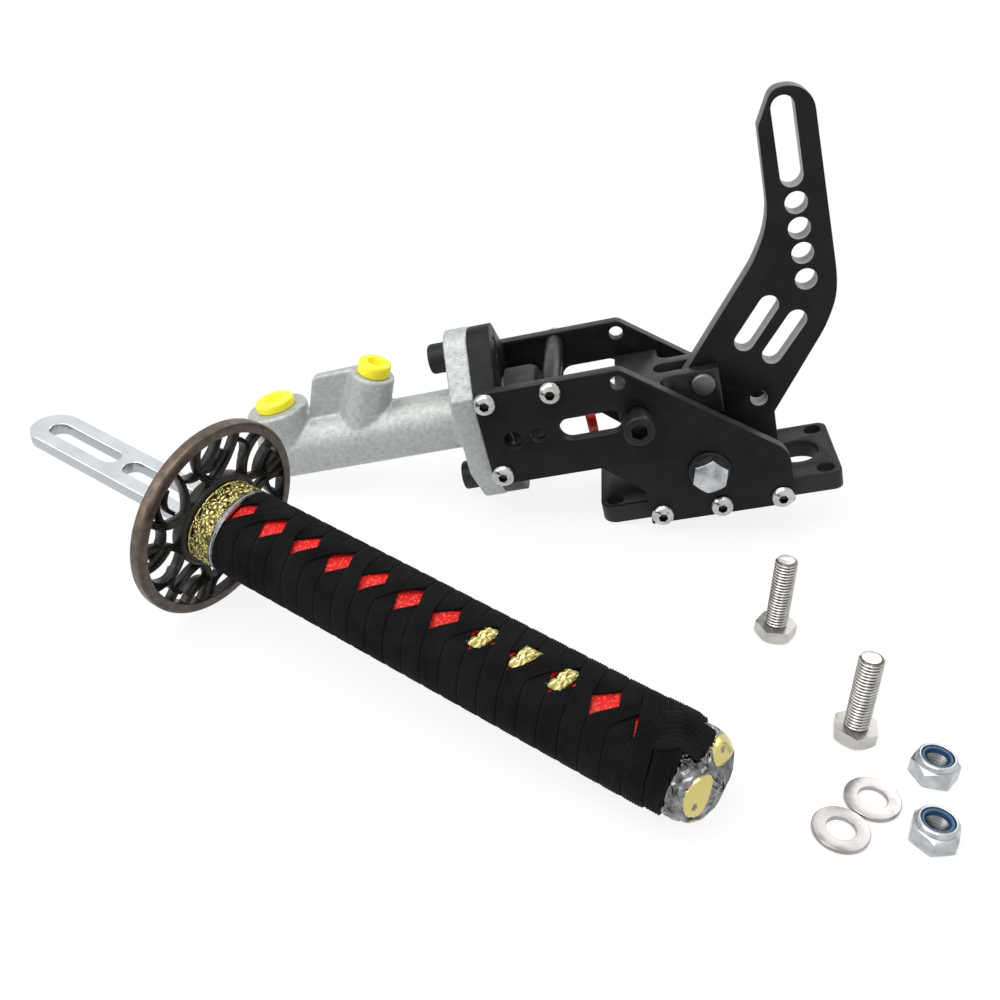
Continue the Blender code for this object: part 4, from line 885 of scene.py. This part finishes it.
def ribbedStrip(width, thick, ribs, relief, count):
    # half outline of a flat band seen end on: (across, height) with raised ribs that run its length
    points = []
    for index in range(count):
        share = 2 * index / (count - 1) - 1
        wave = 0.5 + 0.5 * math.cos(math.pi * (ribs * (share + 1) + 1))
        points.append((share * width / 2, -relief + relief * wave - 0.35 * thick * abs(share) ** 8))
    return points


def sweep(stations, profile):
    # each station is (centre, across, outward, scale across, scale in height); the profile is one closed loop
    points = []
    for centre, across, outward, wide, high in stations:
        for x, y in profile:
            points.append((centre + across * (x * wide) + outward * (y * high)) * mm)
    mesh = tube("sweep", points, len(profile))
    weld(mesh)
    return mesh


# the branches leave the hub and the twigs leave a branch's middle: (angle there, angle at the rim, bow, width);
# the shoots lie between them: (angle, reach) at each end, then bow and width
guardDisc = {
    "radius": 38.1, "thick": 5.0, "rim": 4.2, "hub": (16.8, 19.2), "hubThick": 4.7, "bead": (0.75, 2.15, 0.9),
    "ribs": 3, "thin": 3.1, "relief": 0.55, "step": 0.03,
    "branches": [(4, 40, 4.0, 3.4), (32, 12, -3.0, 2.6), (56, 92, 5.0, 3.2), (82, 60, -3.5, 2.8), (106, 138, 4.0, 3.4),
                 (130, 108, -4.0, 2.6), (156, 190, 5.0, 3.2), (184, 160, -3.0, 2.8), (208, 242, 4.0, 3.4),
                 (234, 212, -4.0, 2.6), (258, 292, 5.0, 3.2), (284, 262, -3.0, 2.8), (308, 342, 4.0, 3.4),
                 (334, 314, -4.0, 2.6)],
    "twigs": [(4, 24, 2.0, 2.2), (56, 76, -2.0, 2.2), (130, 122, 2.5, 2.0), (156, 174, -2.0, 2.2),
              (208, 226, 2.0, 2.2), (284, 276, 2.0, 2.0), (308, 328, -2.0, 2.2)],
    "shoots": [(20, 31, 46, 25, 3.0, 2.0), (60, 27, 84, 30, -3.0, 1.9), (98, 26, 118, 33, 2.5, 2.0),
               (142, 24, 160, 31, -3.0, 2.1), (170, 28, 196, 25, 3.0, 1.9), (222, 33, 236, 24, -2.5, 2.0),
               (250, 27, 270, 32, 2.5, 2.0), (296, 24, 318, 30, -3.0, 2.0), (326, 31, 346, 26, 3.0, 1.9),
               (350, 33, 6, 25, 2.5, 1.8), (30, 24, 36, 34, 1.5, 1.8), (112, 24, 100, 34, -1.5, 1.8),
               (200, 24, 212, 34, 2.0, 1.8), (286, 34, 300, 27, -1.5, 1.8)],
    "rubbed": {"inner": 0.04, "flat": 0.55, "rim": 0.8},  # how much brown shows through, place by place
}


def makeGuard():
    radius, rim = guardDisc["radius"], guardDisc["rim"]
    half = guardDisc["thick"] / 2
    inner = radius - rim
    profile = rounded([(radius, -half, 1.3), (radius, half, 1.3), (inner, half, 0.5), (inner, -half, 0.5)], 15)
    parts = [lathe(profile, 144, closed=True)]
    deep, wide = guardDisc["hub"]
    lie = turned(z=handleLayout["roll"])
    parts.append(moved(slab([ellipse(deep, wide, 6)], guardDisc["hubThick"], 0.6), lie))
    beadRadius, beadLevel, inset = guardDisc["bead"]
    for height in (beadLevel, -beadLevel):
        line = []
        for step in range(73):
            angle = math.radians(5 * step)
            outward = Vector((math.cos(angle), math.sin(angle), 0))
            centre = Vector(((deep - inset) * outward.x, (wide - inset) * outward.y, height))
            line.append((centre, outward, Vector((0, 0, 1)), 1, 1))
        parts.append(moved(sweep(line, ellipse(beadRadius, beadRadius, 45)), lie))

    def hubPoint(degrees):
        angle = math.radians(degrees)
        return (lie @ Vector((deep * 0.9 * math.cos(angle), wide * 0.9 * math.sin(angle), 0))).xy

    def spot(degrees, reach=radius - rim / 2):
        return Vector((reach * math.cos(math.radians(degrees)), reach * math.sin(math.radians(degrees))))

    def addStrip(first, last, bow, width):
        line = bowedLine(first, last, bow)
        thin = guardDisc["thin"] + guardDisc["step"] * len(parts)  # no two strips share a face where they cross
        top = ribbedStrip(width * 1.04, thin, guardDisc["ribs"], guardDisc["relief"], 19)
        profile = [(x, thin / 2 + y + 0.12) for x, y in top] + [(x, -thin / 2 - y - 0.12) for x, y in top[::-1]]
        stations = []
        for index, point in enumerate(line):
            ahead = line[min(index + 1, len(line) - 1)] - line[max(index - 1, 0)]
            across = Vector((-ahead.y, ahead.x, 0)).normalized()
            stations.append((Vector((point.x, point.y, 0)), across, Vector((0, 0, 1)), 1 - 0.018 * index, 1))
        parts.append(sweep(stations, profile))
        return line[len(line) // 2]

    middles = {}
    for hubAngle, rimAngle, bow, width in guardDisc["branches"]:
        middles[hubAngle] = addStrip(hubPoint(hubAngle), spot(rimAngle), bow, width)
    for hubAngle, rimAngle, bow, width in guardDisc["twigs"]:
        addStrip(middles[hubAngle], spot(rimAngle), bow, width)
    for firstAngle, firstReach, lastAngle, lastReach, bow, width in guardDisc["shoots"]:
        addStrip(spot(firstAngle, firstReach), spot(lastAngle, lastReach), bow, width)
    mesh = joined(parts)

    def rubbed(face):
        x, y, z = face.center / mm
        reach = math.hypot(x, y)
        outward = (face.normal.x * x + face.normal.y * y) / reach
        if reach < radius - rim - 0.2 or outward < -0.5:
            return guardDisc["rubbed"]["inner"]
        return guardDisc["rubbed"]["flat" if abs(face.normal.z) > 0.7 else "rim"]
    markFaces(mesh, "rubbed", rubbed)
    dressed("guard", mesh, handleFrame @ turned(y=90), "guardBronze", "guard_bronze")


def reliefLathe(profile, steps, field, mark):
    # a profile turned about Z whose surface is raised by field(angle, index) and marked by its second value
    points, marks = [], []
    rows = len(profile)
    for index, (radius, height) in enumerate(profile):
        back, ahead = profile[max(index - 1, 0)], profile[min(index + 1, rows - 1)]
        along = Vector((ahead[0] - back[0], ahead[1] - back[1])).normalized()
        for step in range(steps):
            angle = 2 * math.pi * step / steps
            rise, share = field(angle, index)
            reach = max(0.001, radius + along.y * rise)
            level = height - along.x * rise
            points.append((reach * math.cos(angle) * mm, reach * math.sin(angle) * mm, level * mm))
            marks.append(share)
    mesh = tube("relief", points, steps)
    marked(mesh, mark, marks)
    weld(mesh, 1e-7)
    return mesh


def flowerHeight(x, y, radius, petals, turn):
    # 0 outside the flower, 0.9 on its eye, and a wave of petals between
    reach = math.hypot(x, y) / radius
    if reach > 1:
        return 0.0
    if reach < 0.22:
        return 0.9
    petal = 0.5 + 0.5 * math.cos(petals * (math.atan2(y, x) + turn))
    return (0.25 + 0.75 * petal) * (1 - ((reach - 0.6) / 0.42) ** 2)


# each row of flowers: (share of a gap it is shifted by, level along the collar, size)
collar = {"near": 2.6, "length": 12.0, "lip": 2.2, "half": (16.8, 14.4), "flower": 3.5, "flowers": 14, "petals": 8,
          "rise": 0.55, "rings": 44, "steps": 420, "rows": ((0.0, 4.6, 1.0), (0.5, 8.3, 0.62), (0.5, 1.6, 0.60)),
          "edge": 0.8, "edgeBand": (0.5, 0.4)}


def makeCollar():
    length, lip, rise, count = (collar[key] for key in ("length", "lip", "rise", "rings"))
    flowers, across = collar["flowers"], collar["flower"]
    low = length - lip
    wide, deep = collar["half"]
    mean = (wide + deep) / 2
    gap = 2 * math.pi * mean / flowers
    firstBand, lastBand = collar["edgeBand"]

    def field(angle, index):
        level = low * index / count
        along = angle * mean
        leaf = 0.35 + 0.35 * math.sin(along * 2.6 + 1.2 * math.sin(level * 2.1)) * math.cos(level * 2.4)
        height = max(leaf * 0.7, collar["edge"] if level < firstBand or level > low - lastBand else 0.0)
        for number in range(-1, flowers + 1):
            for shiftShare, row, size in collar["rows"]:
                x = along - (number + shiftShare) * gap
                if abs(x) < across:
                    height = max(height, flowerHeight(x, level - row, across * size, collar["petals"], number))
        height = min(1.0, height)
        return height * rise / mean, min(1.0, max(0.0, 1.15 - height * 1.9))

    stretch = Matrix.Diagonal((deep, wide, 1, 1))
    place = gripFrame @ shifted(x=collar["near"]) @ turned(y=90)
    profile = [(1 - rise / mean, low * index / count) for index in range(count + 1)]
    relief = moved(reliefLathe(profile, collar["steps"], field, "hollow"), stretch)
    piece("collar_relief", relief, place, "oldGold", "stand", "old_gold", "guard_collar", angle=60.0)
    edge = [(0.93, low), (1.0, low + 0.25), (1.0, low + 0.8), (0.985, low + 1.0), (1.0, low + 1.2), (1.0, length - 0.1),
            (0.92, length)]
    band = moved(lathe(edge, 96, closed=True), stretch)
    piece("collar_edge", band, place, "zincSteel", "stand", "bar_silver", "guard_collar")


# the grip, its windows and its bands; "side" is how far the windows' line lies off the top
grip = {"near": 14.7, "far": 189.2, "half": (16.8, 14.4), "core": (14.6, 12.2), "coreGap": 4.0, "crossings": 12,
        "side": 1.3, "firstWindow": 2.3, "window": 6.3, "crisp": 14, "skew": 0.36, "straight": 24.0, "narrow": 5.74,
        "wide": 7.33, "thick": 1.25, "over": 0.45, "under": -0.65, "lap": 4.2, "ribs": 8, "rib": 0.26, "steps": 76,
        "across": 33, "taper": 12.0, "tuck": 0.9}


class Oval:
    # a grip section: where a distance round it lies, counted from the windows' own line on top
    def __init__(self, wide, deep, side):
        self.wide, self.deep = wide, deep
        steps = 720
        start = math.asin(side / wide)
        self.angles = [start + 2 * math.pi * index / steps for index in range(steps + 1)]
        self.lengths = [0.0]
        for first, last in zip(self.angles, self.angles[1:]):
            dy = wide * (math.sin(last) - math.sin(first))
            dz = deep * (math.cos(last) - math.cos(first))
            self.lengths.append(self.lengths[-1] + math.hypot(dy, dz))
        self.round = self.lengths[-1]

    def at(self, distance):
        share = (distance / self.round) % 1.0
        low, high = 0, len(self.lengths) - 1
        target = share * self.round
        while high - low > 1:
            middle = (low + high) // 2
            if self.lengths[middle] <= target:
                low = middle
            else:
                high = middle
        part = (target - self.lengths[low]) / (self.lengths[high] - self.lengths[low])
        angle = self.angles[low] + (self.angles[high] - self.angles[low]) * part
        point = Vector((0, self.wide * math.sin(angle), self.deep * math.cos(angle)))
        outward = Vector((0, point.y / self.wide**2, point.z / self.deep**2)).normalized()
        return point, outward


def lean(distance):
    # 0 at a crossing, then quickly 1 or -1: the bands run straight across at the sides
    crisp = grip["crisp"]
    share = abs(distance) / grip["window"]
    return math.copysign(1 - math.log(1 + math.exp(crisp * (1 - share))) / crisp, distance)


def skewed(distance):
    # how far the crossings' slant moves a band along the grip
    window = grip["window"]
    fade = min(1.0, max(0.0, (grip["straight"] - abs(distance)) / (grip["straight"] - window)))
    return grip["skew"] * math.copysign(min(abs(distance), window), distance) * fade * fade * (3 - 2 * fade)


def trimmed(mesh, low, high):
    # cut off square at both ends of the grip, and closed there
    shape = bmesh.new()
    shape.from_mesh(mesh)
    for level, way in ((low, -1), (high, 1)):
        geometry = shape.verts[:] + shape.edges[:] + shape.faces[:]
        bmesh.ops.bisect_plane(shape, geom=geometry, plane_co=(level * mm, 0, 0), plane_no=(way, 0, 0),
                               clear_outer=True)
        bmesh.ops.holes_fill(shape, edges=[edge for edge in shape.edges if edge.is_boundary], sides=0)
    shape.to_mesh(mesh)
    shape.free()
    weld(mesh)
    return mesh


def makeWrap():
    oval = Oval(*grip["half"], grip["side"])
    pitch = (grip["far"] - grip["near"]) / grip["crossings"]
    first = grip["near"] + grip["firstWindow"] - pitch / 2
    thick = grip["thick"]
    profile = ribbedStrip(1.0, thick, grip["ribs"], grip["rib"], grip["across"])
    profile += [(0.46, -thick), (0.0, -thick), (-0.46, -thick)]
    parts = []
    for hand in (1, -1):
        stations = []
        for step in range(-grip["steps"] // 2, grip["steps"] * (grip["crossings"] + 1)):
            turnShare = step / grip["steps"]
            crossing = round(turnShare * 2)
            distance = (turnShare * 2 - crossing) * oval.round / 2
            x = first + pitch / 2 * crossing + pitch / 4 * lean(distance)
            if crossing % 2 == 0:  # on top, not underneath
                x += skewed(hand * distance)
            point, outward = oval.at(hand * turnShare * oval.round)
            over = (crossing // 2 + (hand > 0)) % 2 == 0
            lift = grip["over" if over else "under"] * min(1.0, max(0.0, 1.9 - abs(distance) / grip["lap"]))
            past = max(0.0, (x - grip["far"] + grip["taper"]) / grip["taper"])
            lift -= grip["tuck"] * past**2 * min(1.0, max(0.0, 0.55 - outward.z))
            crowd = max(0.0, 1 - abs(distance) / grip["window"])
            wide = grip["wide"] - (grip["wide"] - grip["narrow"]) * crowd
            stations.append((Vector((x, 0, 0)) + point + outward * lift, Vector((1, 0, 0)), outward, wide, 1))
        parts.append(trimmed(sweep(stations, profile), grip["near"], grip["far"]))
    parts += knotCords(oval, profile)
    piece("wrap_bands", joined(parts), gripFrame, "cord", "stand", "cord_black", "grip_wrap", angle=50.0)

    wide, deep = grip["core"]
    length = grip["far"] - grip["near"] - grip["coreGap"]
    mesh = moved(slab([ellipse(deep, wide, 3)], length), shifted(x=grip["near"] + length / 2) @ turned(y=90))
    dressed("grip_core", mesh, gripFrame, "gripRed", "grip_red")


knot = {
    "end": 189.0,
    "squeeze": 0.64,  # how far the knot is drawn together before its end
    "swell": 1.2,
    "plump": 1.5,
    # each cord: (x, distance round from the top, height) on the grip's surface, then its width
    "cords": [
        ([(160.5, 26.0, -1.2), (161.5, 19.0, -0.3), (164.0, 12.0, 0.6), (167.5, 6.0, 1.6), (170.5, 0.0, 2.2),
          (173.0, -6.0, 1.8), (174.5, -13.0, 0.8), (175.5, -20.0, 0.0), (176.0, -27.0, -1.2)], 6.6),
        ([(166.5, -27.0, -1.2), (167.5, -20.0, -0.2), (169.5, -13.0, 0.7), (173.0, -6.5, 1.9), (177.5, -0.5, 2.9),
          (180.5, 6.0, 2.3), (182.0, 13.0, 0.8), (182.5, 20.0, -0.1), (182.5, 27.0, -1.2)], 6.6),
        ([(172.5, 27.0, -1.2), (173.0, 20.0, -0.2), (174.5, 13.0, 0.9), (177.0, 6.5, 2.2), (180.5, 0.0, 3.0),
          (183.5, -6.5, 2.2), (185.0, -13.0, 0.8), (185.6, -20.0, -0.3), (185.6, -27.0, -1.2)], 6.2),
        ([(178.0, 16.0, -0.6), (179.0, 11.0, 1.2), (181.5, 5.5, 3.0), (184.5, -0.5, 3.3), (185.6, -6.0, 2.2),
          (185.8, -11.0, 0.6), (185.8, -17.0, -1.0)], 6.4),
        ([(169.0, -2.0, -0.6), (175.0, -1.6, 1.8), (179.0, -1.0, 3.0), (182.5, 0.3, 3.5), (186.5, 1.2, 3.3),
          (190.5, 1.6, 2.3), (193.6, 1.6, 1.5), (195.4, 1.6, 0.9)], 12.0),
    ],
}


def smoothed(points, steps=6):
    # a line through all the points, rounded between them
    line = []
    padded = [points[0]] + points + [points[-1]]
    for a, b, c, d in zip(padded, padded[1:], padded[2:], padded[3:]):
        for step in range(steps):
            t = step / steps
            bend, twist = 2 * a - 5 * b + 4 * c - d, 3 * b - a - 3 * c + d
            line.append(0.5 * (2 * b + (c - a) * t + bend * t**2 + twist * t**3))
    return line + [points[-1]]


def knotCords(oval, profile):
    parts = []
    for spots, width in knot["cords"]:
        line = []
        for x, distance, height in smoothed([Vector(spot) for spot in spots]):
            if x < knot["end"]:
                x = knot["end"] - (knot["end"] - x) * knot["squeeze"]
            point, outward = oval.at(distance)
            line.append((Vector((x, 0, 0)) + point + outward * height * knot["swell"], outward))
        stations = []
        for index, (centre, outward) in enumerate(line):
            ahead = (line[min(index + 1, len(line) - 1)][0] - line[max(index - 1, 0)][0]).normalized()
            across = outward.cross(ahead).normalized()
            ends = min(1.0, 0.55 + 0.2 * min(index, len(line) - 1 - index))
            stations.append((centre, across, ahead.cross(across), width * ends, knot["plump"]))
        parts.append(sweep(stations, profile))
    return parts


# the windows that hold an ornament are counted from the guard
ornaments = {"half": (3.1, 4.6), "slant": 1.6, "steps": 40, "count": 3, "foot": 0.6, "rise": (0.7, 0.75),
             "rows": (("ornament_top", 1, 7), ("ornament_underside", -1, 1))}


def leafMesh():
    # a closed pad whose top is a carved leaf
    steps = ornaments["steps"]
    width = steps + 1
    halfX, halfY = ornaments["half"]
    base, carved = ornaments["rise"]
    points, marks, faces = [], [], []
    for row in range(width):
        for column in range(width):
            u, v = 2 * column / steps - 1, 2 * row / steps - 1
            x, y = halfX * u + ornaments["slant"] * v, halfY * v
            fall = max(0.0, 1 - max(abs(u), abs(v)) ** 4)
            petal = flowerHeight(x, y * 0.62, 3.3, 6, 0.4)
            veins = 0.5 + 0.5 * math.sin(2.7 * x + 1.6 * math.sin(1.5 * y)) * math.cos(1.9 * y)
            high = max(petal, 0.7 * veins)
            points.append((x * mm, y * mm, (ornaments["foot"] + fall * (base + carved * high)) * mm))
            marks.append(min(1.0, max(0.0, 1.1 - high * 1.6)))
    under = len(points)
    points += [(x, y, 0.0) for x, y, _ in points]
    marks += [1.0] * under
    for row in range(steps):
        for column in range(steps):
            a = row * width + column
            faces.append((a, a + 1, a + width + 1, a + width))
            faces.append((under + a, under + a + width, under + a + width + 1, under + a + 1))
    edge = list(range(width)) + [row * width + steps for row in range(1, width)]
    edge += [steps * width + column for column in range(steps - 1, -1, -1)]
    edge += [row * width for row in range(steps - 1, 0, -1)]
    for a, b in zip(edge, edge[1:] + edge[:1]):
        faces.append((a, under + a, under + b, b))
    mesh = bpy.data.meshes.new("leaf")
    mesh.from_pydata(points, [], faces)
    marked(mesh, "hollow", marks)
    weld(mesh, 1e-7)
    return mesh


def makeOrnaments():
    pitch = (grip["far"] - grip["near"]) / grip["crossings"]
    for node, side, start in ornaments["rows"]:
        places = []
        for number in range(start, start + ornaments["count"]):
            x = grip["near"] + grip["firstWindow"] + pitch * number
            lift = shifted(x, grip["side"], side * (grip["core"][1] + 0.05))
            places.append(lift @ turned(x=0 if side > 0 else 180))
        leaves = copies(leafMesh(), places, "oldGold")
        dressed(node, leaves, gripFrame, "oldGold", "old_gold", angle=60.0)


# the cap: gilded oval plates round it, each with a small dark nick, and cloudy relief between them
pommel = {"near": 189.3, "length": 13.0, "radius": 14.7, "steps": 360, "grid": 0.28,
          "plates": 4, "plate": (8.0, 3.7), "plateTurn": 0.70, "plateLevel": 9.3, "plateRise": 0.32,
          "moat": (1.12, 0.12), "nick": (2.6, -0.4, 1.5, 0.7), "nickDeep": 0.25, "cloud": (4.2, 0.30, 7.0, 11, 0.28)}


def makePommel():
    radius, length, grid = pommel["radius"], pommel["length"], pommel["grid"]
    corners = [(radius, 0, 0), (radius, 4.0, 3.0), (radius * 0.93, 8.0, 3.0), (radius * 0.75, 10.8, 2.0),
               (radius * 0.45, 12.5, 1.5), (0.02, length, 0)]
    outline = [Vector(corner) for corner in rounded(corners, 8, closed=False)]
    profile = []
    for first, last in zip(outline, outline[1:]):
        count = max(1, round((last - first).length / grid))
        profile += [tuple(first + (last - first) * part / count) for part in range(count)]
    profile.append(tuple(outline[-1]))
    middle = min(range(len(profile)), key=lambda index: abs(profile[index][1] - pommel["plateLevel"]))
    halfAcross, halfAlong = pommel["plate"]
    plates = pommel["plates"]
    moatReach, moatDeep = pommel["moat"]
    nickX, nickY, nickWide, nickLong = pommel["nick"]
    spread, climb, start, waves, carve = pommel["cloud"]

    def field(angle, index):
        reach, level = profile[index]
        turn = (angle / (2 * math.pi) * plates + pommel["plateTurn"]) % 1.0 - 0.5
        across = turn * 2 * math.pi / plates * max(reach, radius * 0.82)
        along = (index - middle) * grid
        oval = math.hypot(across / halfAcross, along / halfAlong)
        if oval < 1:
            nick = math.hypot((across - nickX) / nickWide, (along - nickY) / nickLong) < 1
            rise = pommel["plateRise"] * min(1.0, (1 - oval) * 6)
            return rise - (pommel["nickDeep"] if nick else 0), 0.15 if nick else 1.0
        spot = Vector((math.cos(angle) * spread, math.sin(angle) * spread, level * climb + start))
        cut = carve * math.sin(waves * noise.noise(spot)) if level > 1.0 else 0.0
        return cut - (moatDeep if oval < moatReach else 0), 0.0
    mesh = reliefLathe(profile, pommel["steps"], field, "gilded")
    place = handleFrame @ shifted(x=pommel["near"]) @ turned(y=90)
    dressed("pommel_cap", mesh, place, "gunmetal", "gunmetal", angle=60.0)


# walls: how much painted shade darkens the tang bar's own cut wall and its slots' walls
tangBar = {"near": -96.0, "far": 100.0, "half": 10.0, "thick": 5.0, "edge": 0.45, "walls": (0.8, 1.0),
           "slots": [(-42.7, 0, -13.7, 0, 8.0), (-84.2, 0, -55.2, 0, 8.0)]}


def makeHandle():
    near, far, half = tangBar["near"], tangBar["far"], tangBar["half"]
    outline = rounded([(near, -half, half - 0.05), (far, -half, 2), (far, half, 2), (near, half, half - 0.05)])
    bar = slab([outline] + [oblong(*slot) for slot in tangBar["slots"]], tangBar["thick"], tangBar["edge"])
    markCutWalls(bar, outline, *tangBar["walls"])
    dressed("tang_bar", bar, handleFrame, "barSilver", "bar_silver", angle=25.0)
    makeGuard()
    makeCollar()
    makeWrap()
    makeOrnaments()
    makePommel()


makeHandle()
print("handle made")


# Red band round the fork, and the hardware on the floor

band = {"radius": 12.0, "wall": 0.8, "half": 1.8, "at": (-48.5, 0, -7.1), "lean": 8.0}
loose = {"bolts": [(13.5, -91.1), (31.9, -142.4)], "shank": 28.0, "underHeadShade": 0.55,
         "washers": [(31.8, -170.1), (19.9, -182.8)], "washer": (8.5, 4.4, 1.6),
         "nuts": [(53.1, -157.4), (46.4, -183.1)], "nutBody": 6.1, "nutRise": 8.0, "nutCollar": 6.05, "boreShade": 0.7,
         "thread": (3.75, 4.3, 11), "shelf": 5.6, "ring": (4.74, 3.68, 5.6, 7.6)}


def flatRing(outer, inner, low, high, fillets, step, steps):
    corners = zip((outer, outer, inner, inner), (low, high, high, low), fillets)
    return lathe(rounded(list(corners), step), steps, closed=True)


def makeBand():
    outer, half = band["radius"], band["half"]
    hoop = flatRing(outer, outer - band["wall"], -half, half, (0.3, 0.3, 0.3, 0.3), 15, 72)
    place = axisFrame @ shifted(*band["at"]) @ turned(y=-90, z=band["lean"])
    dressed("red_band", hoop, place, "redFilm", "band_red", "rod")


def looseBolt():
    bolt = joined([hexMesh(hexagon["rise"]), threadMesh(-loose["shank"], 0.4, 3.0)])
    root = (hexagon["shank"] / 2 - hexagon["threadDepth"] * 0.45) * mm

    def darkness(face):
        # painted shade: 1 in the thread's groove, less on the face under the head
        if face.center.xy.length < root and abs(face.normal.z) < 0.95:
            return 1.0
        return loose["underHeadShade"] if face.normal.z < -0.9 and abs(face.center.z) < 0.5 * mm else 0.0
    markFaces(bolt, "groove", darkness)
    return bolt


def looseNut():
    reach, rise, shelf = loose["nutCollar"], loose["nutRise"], loose["shelf"]
    crown = lathe(rounded([(0, 5.0, 0), (reach, 5.0, 0), (reach, rise, 0.9), (4.9, rise, 0.3), (4.75, shelf, 0),
                           (4.0, shelf, 0), (4.0, 5.2, 0), (0, 5.2, 0)], 15), 64)
    crest, root, count = loose["thread"]
    turns = [(crest if step % 2 else root, shelf + 0.1 - step * hexagon["pitch"] / 2) for step in range(count)]
    bore = lathe([(0, 9), (4.1, 9)] + turns + [(0, turns[-1][1])], 40)
    nut = combined(hexMesh(loose["nutBody"]), ("UNION", crown), ("DIFFERENCE", bore))

    # painted shade inside the nut's threaded bore
    def darkness(face):
        return loose["boreShade"] if face.center.xy.length < 4.2 * mm and face.center.z < 5.5 * mm else 0.0
    markFaces(nut, "socket", darkness)
    return nut


def makeLoose():
    ground = Matrix.Translation((standAt.x, standAt.y, 0))
    outer, inner, thick = loose["washer"]
    bolt, nut = looseBolt(), looseNut()
    flat = flatRing(outer, inner, 0, thick, (0.3, 0.3, 0.15, 0.15), 20, 64)
    nylon = flatRing(*loose["ring"], (0, 0.3, 0.4, 0), 20, 64)
    for number, (x, y) in enumerate(loose["bolts"], 1):
        place = ground @ shifted(x, y, hexagon["rise"]) @ turned(x=180, z=25 * number)
        dressed(f"loose_bolt_{number}", bolt.copy(), place, "boltSteel", "stainless")
    for number, (x, y) in enumerate(loose["washers"], 1):
        dressed(f"loose_washer_{number}", flat.copy(), ground @ shifted(x, y), "stainless", "stainless")
    for number, (x, y) in enumerate(loose["nuts"], 1):
        place = ground @ shifted(x, y) @ turned(z=20 * number)
        dressed(f"loose_nut_{number}", nut.copy(), place, "zincSteel", "zinc_steel")
        dressed(f"nut_ring_{number}", nylon.copy(), place, "blueNylon", "blue_nylon")


makeBand()
makeLoose()
print("band and loose hardware made")


print("scene ready")
